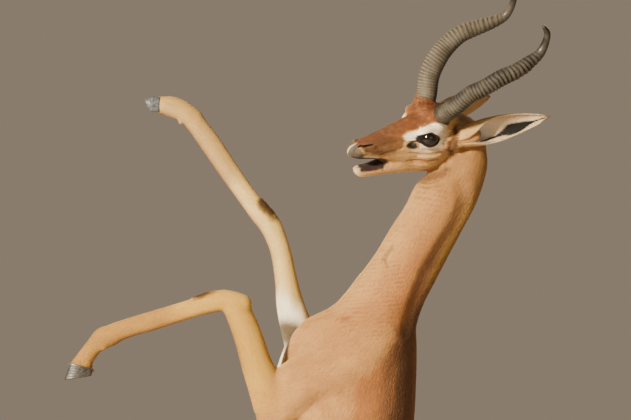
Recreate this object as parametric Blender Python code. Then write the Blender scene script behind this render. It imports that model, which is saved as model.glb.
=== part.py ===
"""Male gerenuk standing upright on its hind legs, life size, on a flat base.

Frame: metres, +Z up.  The animal faces -Y, its left side is +X.  The origin is
the middle of the underside of the base.  The flesh is lofted from front and
back outline pairs read off a side-view grid, fused into one body, smoothed and
parted into named pieces by thin cuts; horns, eyes, ears and hooves are lofted
by themselves.
"""
import math

import bmesh
import bpy
import numpy as np
from mathutils import Matrix, Vector

for _ob in list(bpy.data.objects):
    bpy.data.objects.remove(_ob, do_unlink=True)

# ------------------------------------------------------------------ sizes
GRID = 0.0019            # one square of the side-view grid
GRID_MID = 350.0         # grid column over the middle of the base
GRID_FLOOR = 1066.0      # grid row of the soles of the hind hooves
BASE_LENGTH = 0.640      # along Y
BASE_WIDTH = 0.500       # along X
BASE_HEIGHT = 0.030
BASE_EDGE = 0.004        # rounding of the base's edges
GAP = 0.00035            # clearance between neighbouring pieces

HEAD_YAW = math.radians(33.0)     # muzzle turned to the animal's left
HEAD_ROLL = math.radians(33.0)    # crown leaning to the animal's left
HEAD_AT = (420.0, 129.3, 0.040)   # grid place of the point between the eyes, and its X
EYE_RADIUS = 0.0190
EYE_SIDE = 0.0300                 # eye centre from the head's middle plane
HORN_RINGS = 17
HOOF_SPREAD = 0.0085              # each claw's middle from the foot's middle

VOXEL = 0.0042
SMOOTH_STEPS = 7
FLESH_TRIANGLES = 3080


# ------------------------------------------------------------------ frames
def side(u, v, x=0.0):
    """Grid place to metres; u runs to the tail, v runs down."""
    return np.array((x, (u - GRID_MID) * GRID, BASE_HEIGHT + (GRID_FLOOR - v) * GRID))


_sy, _cy = math.sin(HEAD_YAW), math.cos(HEAD_YAW)
_sr, _cr = math.sin(HEAD_ROLL), math.cos(HEAD_ROLL)
HEAD_LEFT = np.array((_cr * _cy, _cr * _sy, -_sr))
HEAD_FORE = np.array((_sy, -_cy, 0.0))
HEAD_UP = np.array((_sr * _cy, _sr * _sy, _cr))
HEAD_ORIGIN = side(*HEAD_AT)


def head(x, y, z):
    """Head frame (left, fore, up) to the row frame."""
    return HEAD_ORIGIN + x * HEAD_LEFT + y * HEAD_FORE + z * HEAD_UP


# ------------------------------------------------------------------ lofting
def spline(points, t):
    """Catmull-Rom curve through rows of points, at parameters t in 0..len-1."""
    pts = np.asarray(points, float)
    n = len(pts)
    ext = np.vstack((2 * pts[0] - pts[1], pts, 2 * pts[-1] - pts[-2]))
    i = np.clip(np.floor(t).astype(int), 0, n - 2)
    f = (t - i)[:, None]
    a, b, c, d = ext[i], ext[i + 1], ext[i + 2], ext[i + 3]
    return 0.5 * (2 * b + (c - a) * f + (2 * a - 5 * b + 4 * c - d) * f * f
                  + (3 * b - a - 3 * c + d) * f ** 3)


def loft(bm, rows, per=4, sides=20, start=1.0, end=1.0, fullness=2.15):
    """Closed tube.  rows: (centre, half depth vector, half width vector).

    start and end are the bulge of the two closing caps, as a share of the
    section's own half width.
    """
    table = np.array([np.concatenate(r) for r in rows])
    t = np.linspace(0, len(rows) - 1, (len(rows) - 1) * per + 1)
    dense = spline(table, t)
    rings = []

    def cap(row, along, bulge):
        reach = min(np.linalg.norm(row[3:6]), np.linalg.norm(row[6:9])) * bulge
        out = []
        for k in (0.95, 0.8, 0.55, 0.25):
            ang = math.acos(k)
            out.append(np.concatenate((row[:3] + along * reach * math.sin(ang),
                                       row[3:6] * k, row[6:9] * k)))
        return out

    a0 = dense[0, :3] - dense[1, :3]
    a1 = dense[-1, :3] - dense[-2, :3]
    body = list(dense)
    if start:
        body = cap(dense[0], a0 / np.linalg.norm(a0), start)[::-1] + body
    if end:
        body = body + cap(dense[-1], a1 / np.linalg.norm(a1), end)
    for row in body:
        ring = []
        for k in range(sides):
            ang = 2 * math.pi * k / sides
            c, s = math.cos(ang), math.sin(ang)
            c = math.copysign(abs(c) ** (2 / fullness), c)
            s = math.copysign(abs(s) ** (2 / fullness), s)
            ring.append(bm.verts.new(row[:3] + c * row[3:6] + s * row[6:9]))
        rings.append(ring)
    for lo, hi in zip(rings, rings[1:]):
        for k in range(sides):
            j = (k + 1) % sides
            bm.faces.new((lo[k], lo[j], hi[j], hi[k]))
    bm.faces.new(rings[0][::-1])
    bm.faces.new(rings[-1])
    return rings


def pairs(stations, width=(1.0, 0.0, 0.0)):
    """Rows from grid stations (u front, v front, u back, v back, x, half width)."""
    wide = np.array(width)
    rows = []
    for uf, vf, ub, vb, x, hw in stations:
        a, b = side(uf, vf, x), side(ub, vb, x)
        rows.append(((a + b) / 2, (b - a) / 2, wide * hw))
    return rows


def head_rows(stations):
    """Rows from head stations (y, z top, z bottom, half width)."""
    rows = []
    for y, top, low, hw in stations:
        rows.append((head(0, y, (top + low) / 2), HEAD_UP * (top - low) / 2,
                     HEAD_LEFT * hw))
    return rows


def blob(bm, centre, radii, axes=None, seg=16):
    """Ellipsoid with the given half sizes along three axes."""
    m = np.array(axes if axes is not None else (HEAD_LEFT, HEAD_FORE, HEAD_UP))
    mat = Matrix([[m[j][i] * radii[j] for j in range(3)] + [centre[i]] for i in range(3)]
                 + [[0, 0, 0, 1]])
    bmesh.ops.create_uvsphere(bm, u_segments=seg, v_segments=seg // 2 + 2, radius=1.0,
                              matrix=mat)


def rod(bm, a, b, r0, r1, sides=20):
    """Round tapered rod between two points."""
    a, b = np.asarray(a, float), np.asarray(b, float)
    t = (b - a) / np.linalg.norm(b - a)
    side_axis = np.cross(t, (0.0, 0.31, 0.95))
    side_axis /= np.linalg.norm(side_axis)
    other = np.cross(t, side_axis)
    loft(bm, [(a, side_axis * r0, other * r0), (b, side_axis * r1, other * r1)], per=3,
         sides=sides, fullness=2.0)


# ------------------------------------------------------------------ the flesh
def add_body(bm):
    """Neck and trunk in one sweep from the nape to the buttocks."""
    loft(bm, pairs((
        (447, 148, 486, 140, -0.015, 0.035),
        (437, 170, 488, 168, -0.013, 0.040),
        (420, 184, 478, 201, -0.009, 0.044),
        (404, 206, 462, 232, -0.005, 0.046),
        (388, 230, 449, 256, -0.002, 0.049),
        (373, 255, 436, 281, 0.000, 0.054),
        (356, 278, 423, 307, 0.000, 0.064),
        (334, 304, 416, 330, 0.000, 0.080),
        (303, 321, 414, 350, 0.000, 0.092),
        (285, 348, 415, 372, 0.000, 0.099),
        (276, 384, 415, 398, 0.000, 0.103),
        (268, 418, 413, 426, 0.000, 0.105),
        (266, 452, 410, 455, 0.000, 0.107),
        (272, 488, 406, 487, 0.000, 0.106),
        (286, 526, 403, 522, 0.000, 0.099),
        (303, 562, 402, 556, 0.000, 0.089),
        (316, 598, 405, 592, 0.000, 0.085),
        (326, 632, 410, 628, 0.000, 0.089),
        (338, 660, 415, 660, 0.000, 0.082),
        (362, 684, 411, 684, 0.000, 0.056))), sides=32, end=0.9)
    # withers and the long muscle of the back, a low ridge
    loft(bm, pairs(((398, 322, 417, 334, 0, 0.030), (392, 372, 417, 376, 0, 0.040),
                    (388, 440, 413, 444, 0, 0.045), (382, 520, 405, 524, 0, 0.042),
                    (388, 600, 408, 602, 0, 0.040))), sides=16)


def add_shoulder(bm, s, elbow_u, elbow_v, x_elbow):
    """Shoulder blade and upper arm down to the elbow; s is the side's sign."""
    loft(bm, pairs(((352, 326, 404, 342, s * 0.052, 0.026),
                    (322, 338, 392, 366, s * 0.068, 0.034),
                    (298, 352, 362, 388, s * 0.078, 0.036),
                    (elbow_u + 2, elbow_v - 30, elbow_u + 58, elbow_v - 8, x_elbow * 0.97, 0.033),
                    (elbow_u - 12, elbow_v + 6, elbow_u + 32, elbow_v + 12, x_elbow, 0.028))),
         sides=20)


def add_left_foreleg(bm):
    """Near foreleg, folded at elbow and knee."""
    add_shoulder(bm, 1.0, 270, 402, 0.086)
    loft(bm, pairs(((257, 420, 296, 408, 0.086, 0.028),
                    (250, 393, 287, 384, 0.087, 0.029),
                    (243, 368, 273, 360, 0.089, 0.026),
                    (237, 345, 265, 338, 0.091, 0.0225),
                    (231, 326, 258, 320, 0.094, 0.0200),
                    (226, 313, 252, 308, 0.096, 0.0190),
                    (224, 301, 249, 302, 0.097, 0.0190))), sides=16)
    loft(bm, pairs(((244, 293, 243, 312, 0.097, 0.0185),
                    (223, 289, 225, 310, 0.093, 0.0190),
                    (199, 296, 203, 314.5, 0.084, 0.0152),
                    (176, 303.5, 181, 321, 0.070, 0.0134),
                    (149, 311.5, 153.5, 330, 0.053, 0.0130),
                    (126, 318.5, 131.5, 336.5, 0.038, 0.0134),
                    (109, 324.5, 116, 343, 0.028, 0.0160))), sides=16)
    loft(bm, pairs(((112, 325, 115, 345, 0.029, 0.0160),
                    (99, 328, 105, 348.5, 0.025, 0.0172),
                    (88, 341, 98, 355, 0.020, 0.0150),
                    (78, 354, 93, 363, 0.017, 0.0152),
                    (71.5, 364, 92.5, 369.5, 0.015, 0.0150),
                    (69.5, 369, 92.5, 374, 0.014, 0.0150))), sides=16)
    for k in (-1, 1):       # dewclaws
        blob(bm, side(104, 347.5, 0.025 + k * 0.009), (0.0050, 0.0065, 0.0060),
             ((1, 0, 0), (0, 1, 0), (0, 0, 1)), 12)


def add_right_foreleg(bm):
    """Far foreleg, reaching up in front of the face."""
    add_shoulder(bm, -1.0, 286, 368, -0.076)
    loft(bm, pairs(((286, 356, 322, 350, -0.076, 0.029),
                    (280, 331, 312, 323, -0.075, 0.0285),
                    (276, 306, 303, 300, -0.074, 0.0250),
                    (275, 284, 297, 279, -0.072, 0.0215),
                    (272, 261, 292, 256, -0.070, 0.0188),
                    (268, 246.5, 287, 238, -0.069, 0.0182),
                    (261, 231.5, 279.5, 219.5, -0.068, 0.0192),
                    (250, 217.5, 268.5, 207, -0.067, 0.0178),
                    (236.5, 198.5, 253, 189, -0.066, 0.0150),
                    (218, 173, 235.5, 163, -0.065, 0.0130),
                    (199.5, 146.5, 218, 136.5, -0.064, 0.0130),
                    (189, 131, 206, 121, -0.063, 0.0140),
                    (182, 122.5, 199, 110.5, -0.063, 0.0168))), sides=16)
    loft(bm, pairs(((188, 125.5, 199.5, 111, -0.063, 0.0160),
                    (179, 120, 187, 101.5, -0.063, 0.0170),
                    (169, 116.5, 174, 96, -0.063, 0.0150),
                    (160, 113, 161, 95.5, -0.063, 0.0150),
                    (153, 111, 154, 95.5, -0.063, 0.0148))), sides=16)
    for k in (-1, 1):
        blob(bm, side(180, 121.5, -0.063 + k * 0.009), (0.0050, 0.0060, 0.0060),
             ((1, 0, 0), (0, 1, 0), (0, 0, 1)), 12)


def add_hind_leg(bm, s, du):
    """Hind leg; s is the side's sign and du moves the foot along the grid."""
    loft(bm, pairs(((324, 618, 400, 628, s * 0.052, 0.034),
                    (316, 652, 408, 662, s * 0.062, 0.046),
                    (309 + du * 0.2, 688, 402 + du * 0.2, 700, s * 0.070, 0.047),
                    (307 + du * 0.4, 718, 382 + du * 0.4, 732, s * 0.076, 0.042),
                    (311 + du * 0.5, 745, 368 + du * 0.5, 756, s * 0.079, 0.035),
                    (323 + du * 0.6, 773, 368 + du * 0.6, 782, s * 0.081, 0.031),
                    (341 + du * 0.7, 803, 376 + du * 0.7, 809, s * 0.083, 0.0250),
                    (357 + du * 0.8, 833, 387 + du * 0.8, 836, s * 0.084, 0.0200),
                    (367 + du * 0.9, 855, 399 + du * 0.9, 851, s * 0.085, 0.0182),
                    (371 + du, 877, 403 + du, 867, s * 0.085, 0.0200),
                    (371 + du, 898, 396 + du, 896, s * 0.085, 0.0180),
                    (369 + du, 929, 388 + du, 929, s * 0.085, 0.0142),
                    (364 + du, 969, 382 + du, 970, s * 0.085, 0.0132),
                    (359 + du, 1002, 379 + du, 1004, s * 0.085, 0.0150),
                    (355 + du, 1019, 380 + du, 1023, s * 0.085, 0.0178))), sides=18)
    loft(bm, pairs(((358 + du, 1012, 380 + du, 1019, s * 0.085, 0.0165),
                    (354 + du, 1020, 379 + du, 1028, s * 0.085, 0.0175),
                    (345 + du, 1034, 368 + du, 1041, s * 0.085, 0.0158),
                    (339 + du, 1046, 363 + du, 1053, s * 0.085, 0.0162),
                    (335 + du, 1053, 361 + du, 1060, s * 0.085, 0.0162))), sides=16)
    for k in (-1, 1):
        blob(bm, side(379 + du, 1030, s * 0.085 + k * 0.010), (0.0052, 0.0058, 0.0070),
             ((1, 0, 0), (0, 1, 0), (0, 0, 1)), 12)


def add_tail(bm):
    loft(bm, pairs(((406, 655, 416, 644, 0.0, 0.013),
                    (413, 672, 424, 662, 0.0, 0.013),
                    (419, 698, 430, 692, 0.002, 0.0105),
                    (422, 730, 432, 728, 0.004, 0.0090),
                    (421, 762, 433, 762, 0.005, 0.0100),
                    (418, 790, 433, 790, 0.006, 0.0125),
                    (419, 815, 430, 815, 0.006, 0.0080))), sides=12, end=1.6)


def add_head(bm):
    # skull and upper jaw, muzzle first
    loft(bm, head_rows((
        (0.139, -0.0370, -0.0610, 0.0120),
        (0.131, -0.0310, -0.0640, 0.0165),
        (0.118, -0.0240, -0.0650, 0.0182),
        (0.098, -0.0130, -0.0650, 0.0190),
        (0.074, 0.0000, -0.0660, 0.0222),
        (0.050, 0.0130, -0.0700, 0.0272),
        (0.026, 0.0260, -0.0750, 0.0330),
        (0.002, 0.0390, -0.0780, 0.0370),
        (-0.024, 0.0470, -0.0770, 0.0390),
        (-0.050, 0.0460, -0.0680, 0.0390),
        (-0.078, 0.0380, -0.0520, 0.0370),
        (-0.102, 0.0260, -0.0360, 0.0320))), sides=24, start=0.7, end=0.8)
    # lower jaw, a little open
    loft(bm, head_rows((
        (0.113, -0.0865, -0.1000, 0.0105),
        (0.104, -0.0830, -0.1055, 0.0132),
        (0.088, -0.0800, -0.1075, 0.0145),
        (0.064, -0.0700, -0.1020, 0.0180),
        (0.034, -0.0550, -0.0940, 0.0230),
        (0.000, -0.0400, -0.0860, 0.0285),
        (-0.034, -0.0280, -0.0770, 0.0315),
        (-0.054, -0.0200, -0.0630, 0.0300))), sides=20, start=0.8)
    blob(bm, head(0, -0.012, 0.0370), (0.0360, 0.0290, 0.0150))                  # forehead tuft
    for s in (-1, 1):
        blob(bm, head(s * 0.0265, -0.022, -0.040), (0.0150, 0.0380, 0.0330))     # cheek
        blob(bm, head(s * 0.0285, 0.000, 0.001), (0.0165, 0.0270, 0.0240))       # orbit
        blob(bm, head(s * 0.0300, 0.003, 0.0225), (0.0155, 0.0230, 0.0120))      # brow
        blob(bm, head(s * 0.0115, 0.124, -0.043), (0.0085, 0.0130, 0.0105))      # nostril wing
        rod(bm, head(s * 0.024, -0.008, 0.020), head(s * 0.0425, -0.0180, 0.0720),
            0.0225, 0.0190)                                                     # horn foot


def add_ear_foot(bm, base, way):
    rod(bm, base - way * 0.030, base + way * 0.020, 0.0200, 0.0165)


# ear roots, the way each ear points and the way its cup opens, in the head frame
EARS = {
    "left_ear": (head(0.0420, -0.0700, 0.0085), (0.055, -0.137, 0.0825), (0.87, 0.46, -0.03)),
    "right_ear": (head(-0.0400, -0.0720, 0.0165), (-0.075, -0.158, -0.011), (-0.87, 0.46, -0.03)),
}
EAR_LENGTH = 0.168


def ear_frame(name):
    """Root, unit axis, opening direction and edge direction of an ear."""
    base, way, face = EARS[name]
    axis = way[0] * HEAD_LEFT + way[1] * HEAD_FORE + way[2] * HEAD_UP
    axis = axis / np.linalg.norm(axis)
    opening = face[0] * HEAD_LEFT + face[1] * HEAD_FORE + face[2] * HEAD_UP
    opening = opening - axis * opening.dot(axis)
    opening /= np.linalg.norm(opening)
    edge = np.cross(axis, opening)
    return base, axis, opening, edge


# ------------------------------------------------------------------ helpers
def new_object(name, bm):
    """Link a mesh object made from a bmesh."""
    mesh = bpy.data.meshes.new(name)
    bm.to_mesh(mesh)
    bm.free()
    ob = bpy.data.objects.new(name, mesh)
    bpy.context.scene.collection.objects.link(ob)
    return ob


def baked(ob):
    """A plain mesh of the object as its modifiers leave it."""
    deps = bpy.context.evaluated_depsgraph_get()
    deps.update()
    return bpy.data.meshes.new_from_object(ob.evaluated_get(deps))


def plate(bm, point, normal, radius, thick, sides=28):
    """Closed round plate, centred on a point."""
    n = Vector(normal).normalized()
    rot = n.to_track_quat('Z', 'Y').to_matrix().to_4x4()
    bmesh.ops.create_cone(bm, cap_ends=True, segments=sides, radius1=radius, radius2=radius,
                          depth=thick, matrix=Matrix.Translation(Vector(point)) @ rot)


def slab(bm, centre, x_axis, y_axis, hx, hy, thick):
    """Closed flat box with two half sizes and a thickness."""
    x = Vector(x_axis).normalized()
    y = Vector(y_axis).normalized()
    z = x.cross(y)
    mat = Matrix(((x[0] * hx * 2, y[0] * hy * 2, z[0] * thick, centre[0]),
                  (x[1] * hx * 2, y[1] * hy * 2, z[1] * thick, centre[1]),
                  (x[2] * hx * 2, y[2] * hy * 2, z[2] * thick, centre[2]),
                  (0, 0, 0, 1)))
    bmesh.ops.create_cube(bm, size=1.0, matrix=mat)


def finish(name, mesh, colour, rough, metal=0.0):
    mesh.name = name
    ob = bpy.data.objects.new(name, mesh)
    bpy.context.scene.collection.objects.link(ob)
    mat = bpy.data.materials.new(name)
    mat.use_nodes = True
    p = mat.node_tree.nodes["Principled BSDF"]
    p.inputs["Base Color"].default_value = (*colour, 1.0)
    p.inputs["Roughness"].default_value = rough
    p.inputs["Metallic"].default_value = metal
    mesh.materials.clear()
    mesh.materials.append(mat)
    mesh.shade_smooth()
    return ob


# ------------------------------------------------------------------ fuse
flesh_bm = bmesh.new()
add_body(flesh_bm)
add_left_foreleg(flesh_bm)
add_right_foreleg(flesh_bm)
add_hind_leg(flesh_bm, 1.0, 4.0)
add_hind_leg(flesh_bm, -1.0, -8.0)
add_tail(flesh_bm)
add_head(flesh_bm)
for _name in EARS:
    _base, _axis, _open, _edge = ear_frame(_name)
    add_ear_foot(flesh_bm, _base, _axis)
bmesh.ops.recalc_face_normals(flesh_bm, faces=flesh_bm.faces)
rough_flesh = new_object("rough_flesh", flesh_bm)
_m = rough_flesh.modifiers.new("fuse", 'REMESH')
_m.mode = 'VOXEL'
_m.voxel_size = VOXEL
_m.use_smooth_shade = True
_m = rough_flesh.modifiers.new("soften", 'SMOOTH')
_m.factor = 0.5
_m.iterations = SMOOTH_STEPS
_m = rough_flesh.modifiers.new("swell", 'DISPLACE')
_m.mid_level = 0.0
_m.strength = 0.0009
_whole = baked(rough_flesh)
_m = rough_flesh.modifiers.new("coarsen", 'DECIMATE')
_m.ratio = min(1.0, FLESH_TRIANGLES / (2.0 * len(_whole.polygons)))
flesh_mesh = baked(rough_flesh)
bpy.data.objects.remove(rough_flesh, do_unlink=True)

# ------------------------------------------------------------------ part
def px(du, dv, dx=0.0):
    """Direction on the grid as a unit vector of the row frame."""
    d = np.array((dx, du, -dv), float)
    return d / np.linalg.norm(d)


def head_way(x, y, z):
    d = x * HEAD_LEFT + y * HEAD_FORE + z * HEAD_UP
    return d / np.linalg.norm(d)


HIND_SHIFT = {1.0: 4.0, -1.0: -8.0}      # grid shift of each hind foot

# thin round cuts through the joints: (place, way along the limb, plate radius)
CUTS = [
    (side(457, 165.5, -0.008), px(31, 66), 0.080),               # head | neck
    (side(375, 317), px(-26, 82), 0.100),                       # neck | chest
    (side(350, 540), px(0, 1), 0.150),                          # chest | belly
    (side(260, 365, 0.090), px(-8, -37), 0.041),                # left elbow
    (side(241, 315.5, 0.096), px(-5, -26), 0.0285),             # left knee
    (side(120.5, 330, 0.034), px(-104, 29, -16), 0.024),        # left fetlock
    (side(292.5, 313, -0.074), px(-7, -31), 0.036),             # right elbow
    (side(278.5, 241, -0.069), px(-9, -19), 0.026),             # right knee
    (side(197, 126.5, -0.063), px(-83, -116), 0.024),           # right fetlock
    (side(424.8, 691, 0.002), px(6, 30), 0.0155),               # tail root
]
for _s, _du in HIND_SHIFT.items():
    CUTS += [
        (side(340 + _du * 0.5, 756, _s * 0.079), px(10, 50), 0.063),     # stifle
        (side(377 + _du * 0.85, 844, _s * 0.0845), px(43, 122), 0.030),  # hock
        (side(368.5 + _du, 1006, _s * 0.085), px(-3, 30), 0.0265),       # fetlock
    ]

# flat ends: (place, way outward, radius, how much is taken off)
HORN_ROOT = (0.0353, -0.0140, 0.0570)
HORN_WAY = (0.0147, -0.0083, 0.0243)
COR_LEFT = (side(81, 366, 0.0165), px(-4.5, 16))
COR_RIGHT = (side(157.5, 103.4, -0.063), px(-17.5, -1))
COR_HIND = {s: (side(351 + du, 1049.5, s * 0.085), px(-7, 24)) for s, du in HIND_SHIFT.items()}
TRIMS = [(head(s * HORN_ROOT[0], HORN_ROOT[1], HORN_ROOT[2]),
          head_way(s * HORN_WAY[0], HORN_WAY[1], HORN_WAY[2]), 0.031, 0.034) for s in (1, -1)]
TRIMS += [(p, w, 0.028, 0.030) for p, w in (COR_LEFT, COR_RIGHT, *COR_HIND.values())]

cut_bm = bmesh.new()
for _p, _w, _r in CUTS:
    plate(cut_bm, _p, _w, _r, GAP)
for _s, _du in HIND_SHIFT.items():                                      # hips
    slab(cut_bm, side(350 + _du * 0.3, 714, _s * 0.078), (1, 0, 0), (0, 1, 0), 0.070, 0.100, GAP)
slab(cut_bm, head(0, 0.035, -0.0800), HEAD_LEFT, head_way(0, 0.987, 0.158),
     0.045, 0.052, GAP)                                                 # hinge line of the jaw
for _p, _w, _r, _l in TRIMS:
    plate(cut_bm, _p + _w * _l / 2, _w, _r, _l)
EYE_WAY = {s: head_way(s * 0.90, 0.33, 0.16) for s in (1, -1)}
EYE_AT = {s: head(s * EYE_SIDE, -0.0015, -0.0005) for s in (1, -1)}
for _s in (1, -1):
    bmesh.ops.create_uvsphere(cut_bm, u_segments=20, v_segments=12, radius=EYE_RADIUS + GAP,
                              matrix=Matrix.Translation(Vector(EYE_AT[_s])))
cutter = new_object("joint_cuts", cut_bm)
lid_bm = bmesh.new()
for _s in (1, -1):
    _fore = HEAD_FORE - EYE_WAY[_s] * HEAD_FORE.dot(EYE_WAY[_s])
    _fore /= np.linalg.norm(_fore)
    blob(lid_bm, EYE_AT[_s] + EYE_WAY[_s] * 0.0150, (0.0172, 0.0130, 0.0130),
         (_fore, np.cross(EYE_WAY[_s], _fore), EYE_WAY[_s]), 16)
bmesh.ops.recalc_face_normals(lid_bm, faces=lid_bm.faces)
lids = new_object("lid_openings", lid_bm)

flesh = bpy.data.objects.new("flesh", flesh_mesh)
bpy.context.scene.collection.objects.link(flesh)
for _tool in (cutter, lids):
    _tool.hide_render = True
    _tool.display_type = 'WIRE'
    _m = flesh.modifiers.new("cut", 'BOOLEAN')
    _m.operation = 'DIFFERENCE'
    _m.solver = 'EXACT'
    _m.object = _tool
parted = baked(flesh)

# a slightly swollen copy of the flesh shapes the ear roots
swollen = bpy.data.objects.new("swollen", flesh_mesh)
bpy.context.scene.collection.objects.link(swollen)
_m = swollen.modifiers.new("swell", 'DISPLACE')
_m.mid_level = 0.0
_m.strength = GAP * 1.3
swollen.hide_render = True
swollen.display_type = 'WIRE'

# ------------------------------------------------------------------ nodes
TAN = (0.56, 0.36, 0.19)
RUST = (0.36, 0.15, 0.06)
HORN = (0.10, 0.085, 0.065)
BLACK = (0.02, 0.017, 0.014)

# each flesh node by a point near its middle
SEEDS = {
    "head": head(0, 0.030, -0.010),
    "lower_jaw": head(0, 0.060, -0.090),
    "neck": side(415, 240),
    "chest": side(345, 430),
    "belly": side(357, 625),
    "tail": side(426, 750, 0.004),
    "left_forearm": side(250, 340, 0.092),
    "left_fore_cannon": side(185, 306, 0.075),
    "left_fore_pastern": side(98, 342, 0.023),
    "right_forearm": side(284, 275, -0.072),
    "right_fore_cannon": side(235, 185, -0.066),
    "right_fore_pastern": side(180, 108, -0.063),
}
for _s, _tag in ((1.0, "left"), (-1.0, "right")):
    _du = HIND_SHIFT[_s]
    SEEDS[_tag + "_thigh"] = side(344, 735, _s * 0.078)
    SEEDS[_tag + "_shank"] = side(357 + _du * 0.7, 800, _s * 0.083)
    SEEDS[_tag + "_hind_cannon"] = side(378 + _du, 920, _s * 0.085)
    SEEDS[_tag + "_hind_pastern"] = side(360 + _du, 1030, _s * 0.085)

bm = bmesh.new()
bm.from_mesh(parted)
bmesh.ops.triangulate(bm, faces=bm.faces)
bmesh.ops.dissolve_degenerate(bm, dist=2e-5, edges=bm.edges)
bm.verts.ensure_lookup_table()
islands, seen = [], set()
for _v in bm.verts:
    if _v.index in seen:
        continue
    stack, island = [_v], []
    seen.add(_v.index)
    while stack:
        w = stack.pop()
        island.append(w)
        for e in w.link_edges:
            o = e.other_vert(w)
            if o.index not in seen:
                seen.add(o.index)
                stack.append(o)
    islands.append(island)


def island_middle(island):
    co = np.array([v.co for v in island])
    return (co.min(0) + co.max(0)) / 2


islands.sort(key=len, reverse=True)
free = dict(SEEDS)
for island in islands:
    if not free:
        break
    if len(island) < 20:
        continue
    mid = island_middle(island)
    name = min(free, key=lambda n: np.linalg.norm(free[n] - mid))
    del free[name]
    index = {v: i for i, v in enumerate(island)}
    mesh = bpy.data.meshes.new(name)
    faces = {f for v in island for f in v.link_faces}
    mesh.from_pydata([v.co[:] for v in island], [],
                     [[index[v] for v in f.verts] for f in sorted(faces, key=lambda f: f.index)])
    colour = RUST if name == "head" else BLACK if name == "tail" else TAN
    finish(name, mesh, colour, 0.85)
bm.free()
bpy.data.objects.remove(flesh, do_unlink=True)

# eyes
for _s, _tag in ((1, "left"), (-1, "right")):
    bm = bmesh.new()
    _rot = Vector(EYE_WAY[_s]).to_track_quat('Z', 'Y').to_matrix().to_4x4()
    bmesh.ops.create_uvsphere(bm, u_segments=12, v_segments=8, radius=EYE_RADIUS,
                              matrix=Matrix.Translation(Vector(EYE_AT[_s])) @ _rot)
    mesh = bpy.data.meshes.new("eye")
    bm.to_mesh(mesh)
    bm.free()
    finish(_tag + "_eye", mesh, (0.012, 0.008, 0.006), 0.08)

# horns: a lyre-shaped line in the head frame, ringed but for the last third
HORN_LINE = (
    (0.0353, -0.0140, 0.0570), (0.0536, -0.0195, 0.0864), (0.0646, -0.0320, 0.1174),
    (0.0748, -0.0522, 0.1405), (0.0790, -0.0759, 0.1630), (0.0780, -0.1069, 0.1793),
    (0.0718, -0.1340, 0.1956), (0.0676, -0.1553, 0.2155), (0.0650, -0.1579, 0.2501),
    (0.0624, -0.1425, 0.2700))
RINGED = 0.70            # share of the horn's length that carries rings


HORN_TURN = (0.60, 0.80, -0.06)      # way of a section's long axis at the root
HORN_GIRTH = (       # share of length, long and short half breadth
    (0.00, 0.0195, 0.0178), (0.10, 0.0198, 0.0168), (0.22, 0.0195, 0.0161),
    (0.33, 0.0180, 0.0157), (0.45, 0.0169, 0.0158), (0.55, 0.0152, 0.0147),
    (0.65, 0.0122, 0.0128), (0.75, 0.0094, 0.0099), (0.85, 0.0069, 0.0072),
    (0.94, 0.0056, 0.0058), (0.985, 0.0040, 0.0041), (1.00, 0.0012, 0.0012))


def horn_girth(t):
    """Half breadths of the horn's oval section, t from root to tip."""
    table = np.array(HORN_GIRTH)
    return np.interp(t, table[:, 0], table[:, 1]), np.interp(t, table[:, 0], table[:, 2])


def add_horn(bm, s, sides=10):
    line = [head(s * x, y, z) for x, y, z in HORN_LINE]
    steps = [i / (HORN_RINGS * 2) * RINGED for i in range(HORN_RINGS * 2)]
    steps += [RINGED + (1 - RINGED) * k / 8 for k in range(8)] + [0.992]
    ts = np.array(steps) * (len(line) - 1)
    pts = spline(line, ts)
    ahead = spline(line, np.minimum(ts + 0.02, len(line) - 1.0))
    behind = spline(line, np.maximum(ts - 0.02, 0.0))
    rings = []
    long_way = head_way(s * HORN_TURN[0], HORN_TURN[1], HORN_TURN[2])
    for k, t in enumerate(steps):
        way = ahead[k] - behind[k]
        way /= np.linalg.norm(way)
        if k == 0:
            way = head_way(s * HORN_WAY[0], HORN_WAY[1], HORN_WAY[2])
        long_way = long_way - way * long_way.dot(way)
        long_way /= np.linalg.norm(long_way)
        short_way = np.cross(way, long_way)
        a, b = horn_girth(t)
        crest = 1.0
        if t < RINGED:
            crest = 1.045 if k % 2 == 1 else 0.985
        p = pts[k] + (way * GAP if k == 0 else 0)
        rings.append([bm.verts.new(p + crest * (a * math.cos(q) * long_way
                                                + b * math.sin(q) * short_way))
                      for q in (2 * math.pi * j / sides for j in range(sides))])
    tip = bm.verts.new(spline(line, np.array([len(line) - 1.0]))[0])
    for lo, hi in zip(rings, rings[1:]):
        for j in range(sides):
            bm.faces.new((lo[j], lo[(j + 1) % sides], hi[(j + 1) % sides], hi[j]))
    for j in range(sides):
        bm.faces.new((rings[-1][j], rings[-1][(j + 1) % sides], tip))
    bm.faces.new(rings[0][::-1])
    bmesh.ops.recalc_face_normals(bm, faces=bm.faces)


for _s, _tag in ((1, "left"), (-1, "right")):
    bm = bmesh.new()
    add_horn(bm, _s)
    mesh = bpy.data.meshes.new("horn")
    bm.to_mesh(mesh)
    bm.free()
    finish(_tag + "_horn", mesh, HORN, 0.45)

# ears: a leaf rolled into a cup; every section is a crescent
EAR_SHAPE = (       # share of length, half breadth, half depth, thickness, half arc in degrees
    (-0.10, 0.0150, 0.0150, 0.0060, 168), (0.03, 0.0200, 0.0190, 0.0050, 164),
    (0.14, 0.0247, 0.0200, 0.0042, 150), (0.27, 0.0272, 0.0175, 0.0036, 122),
    (0.42, 0.0274, 0.0140, 0.0032, 100), (0.58, 0.0242, 0.0105, 0.0029, 88),
    (0.73, 0.0190, 0.0075, 0.0026, 80), (0.86, 0.0125, 0.0052, 0.0023, 76),
    (0.95, 0.0062, 0.0034, 0.0019, 74), (1.00, 0.0022, 0.0020, 0.0014, 72))


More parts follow.
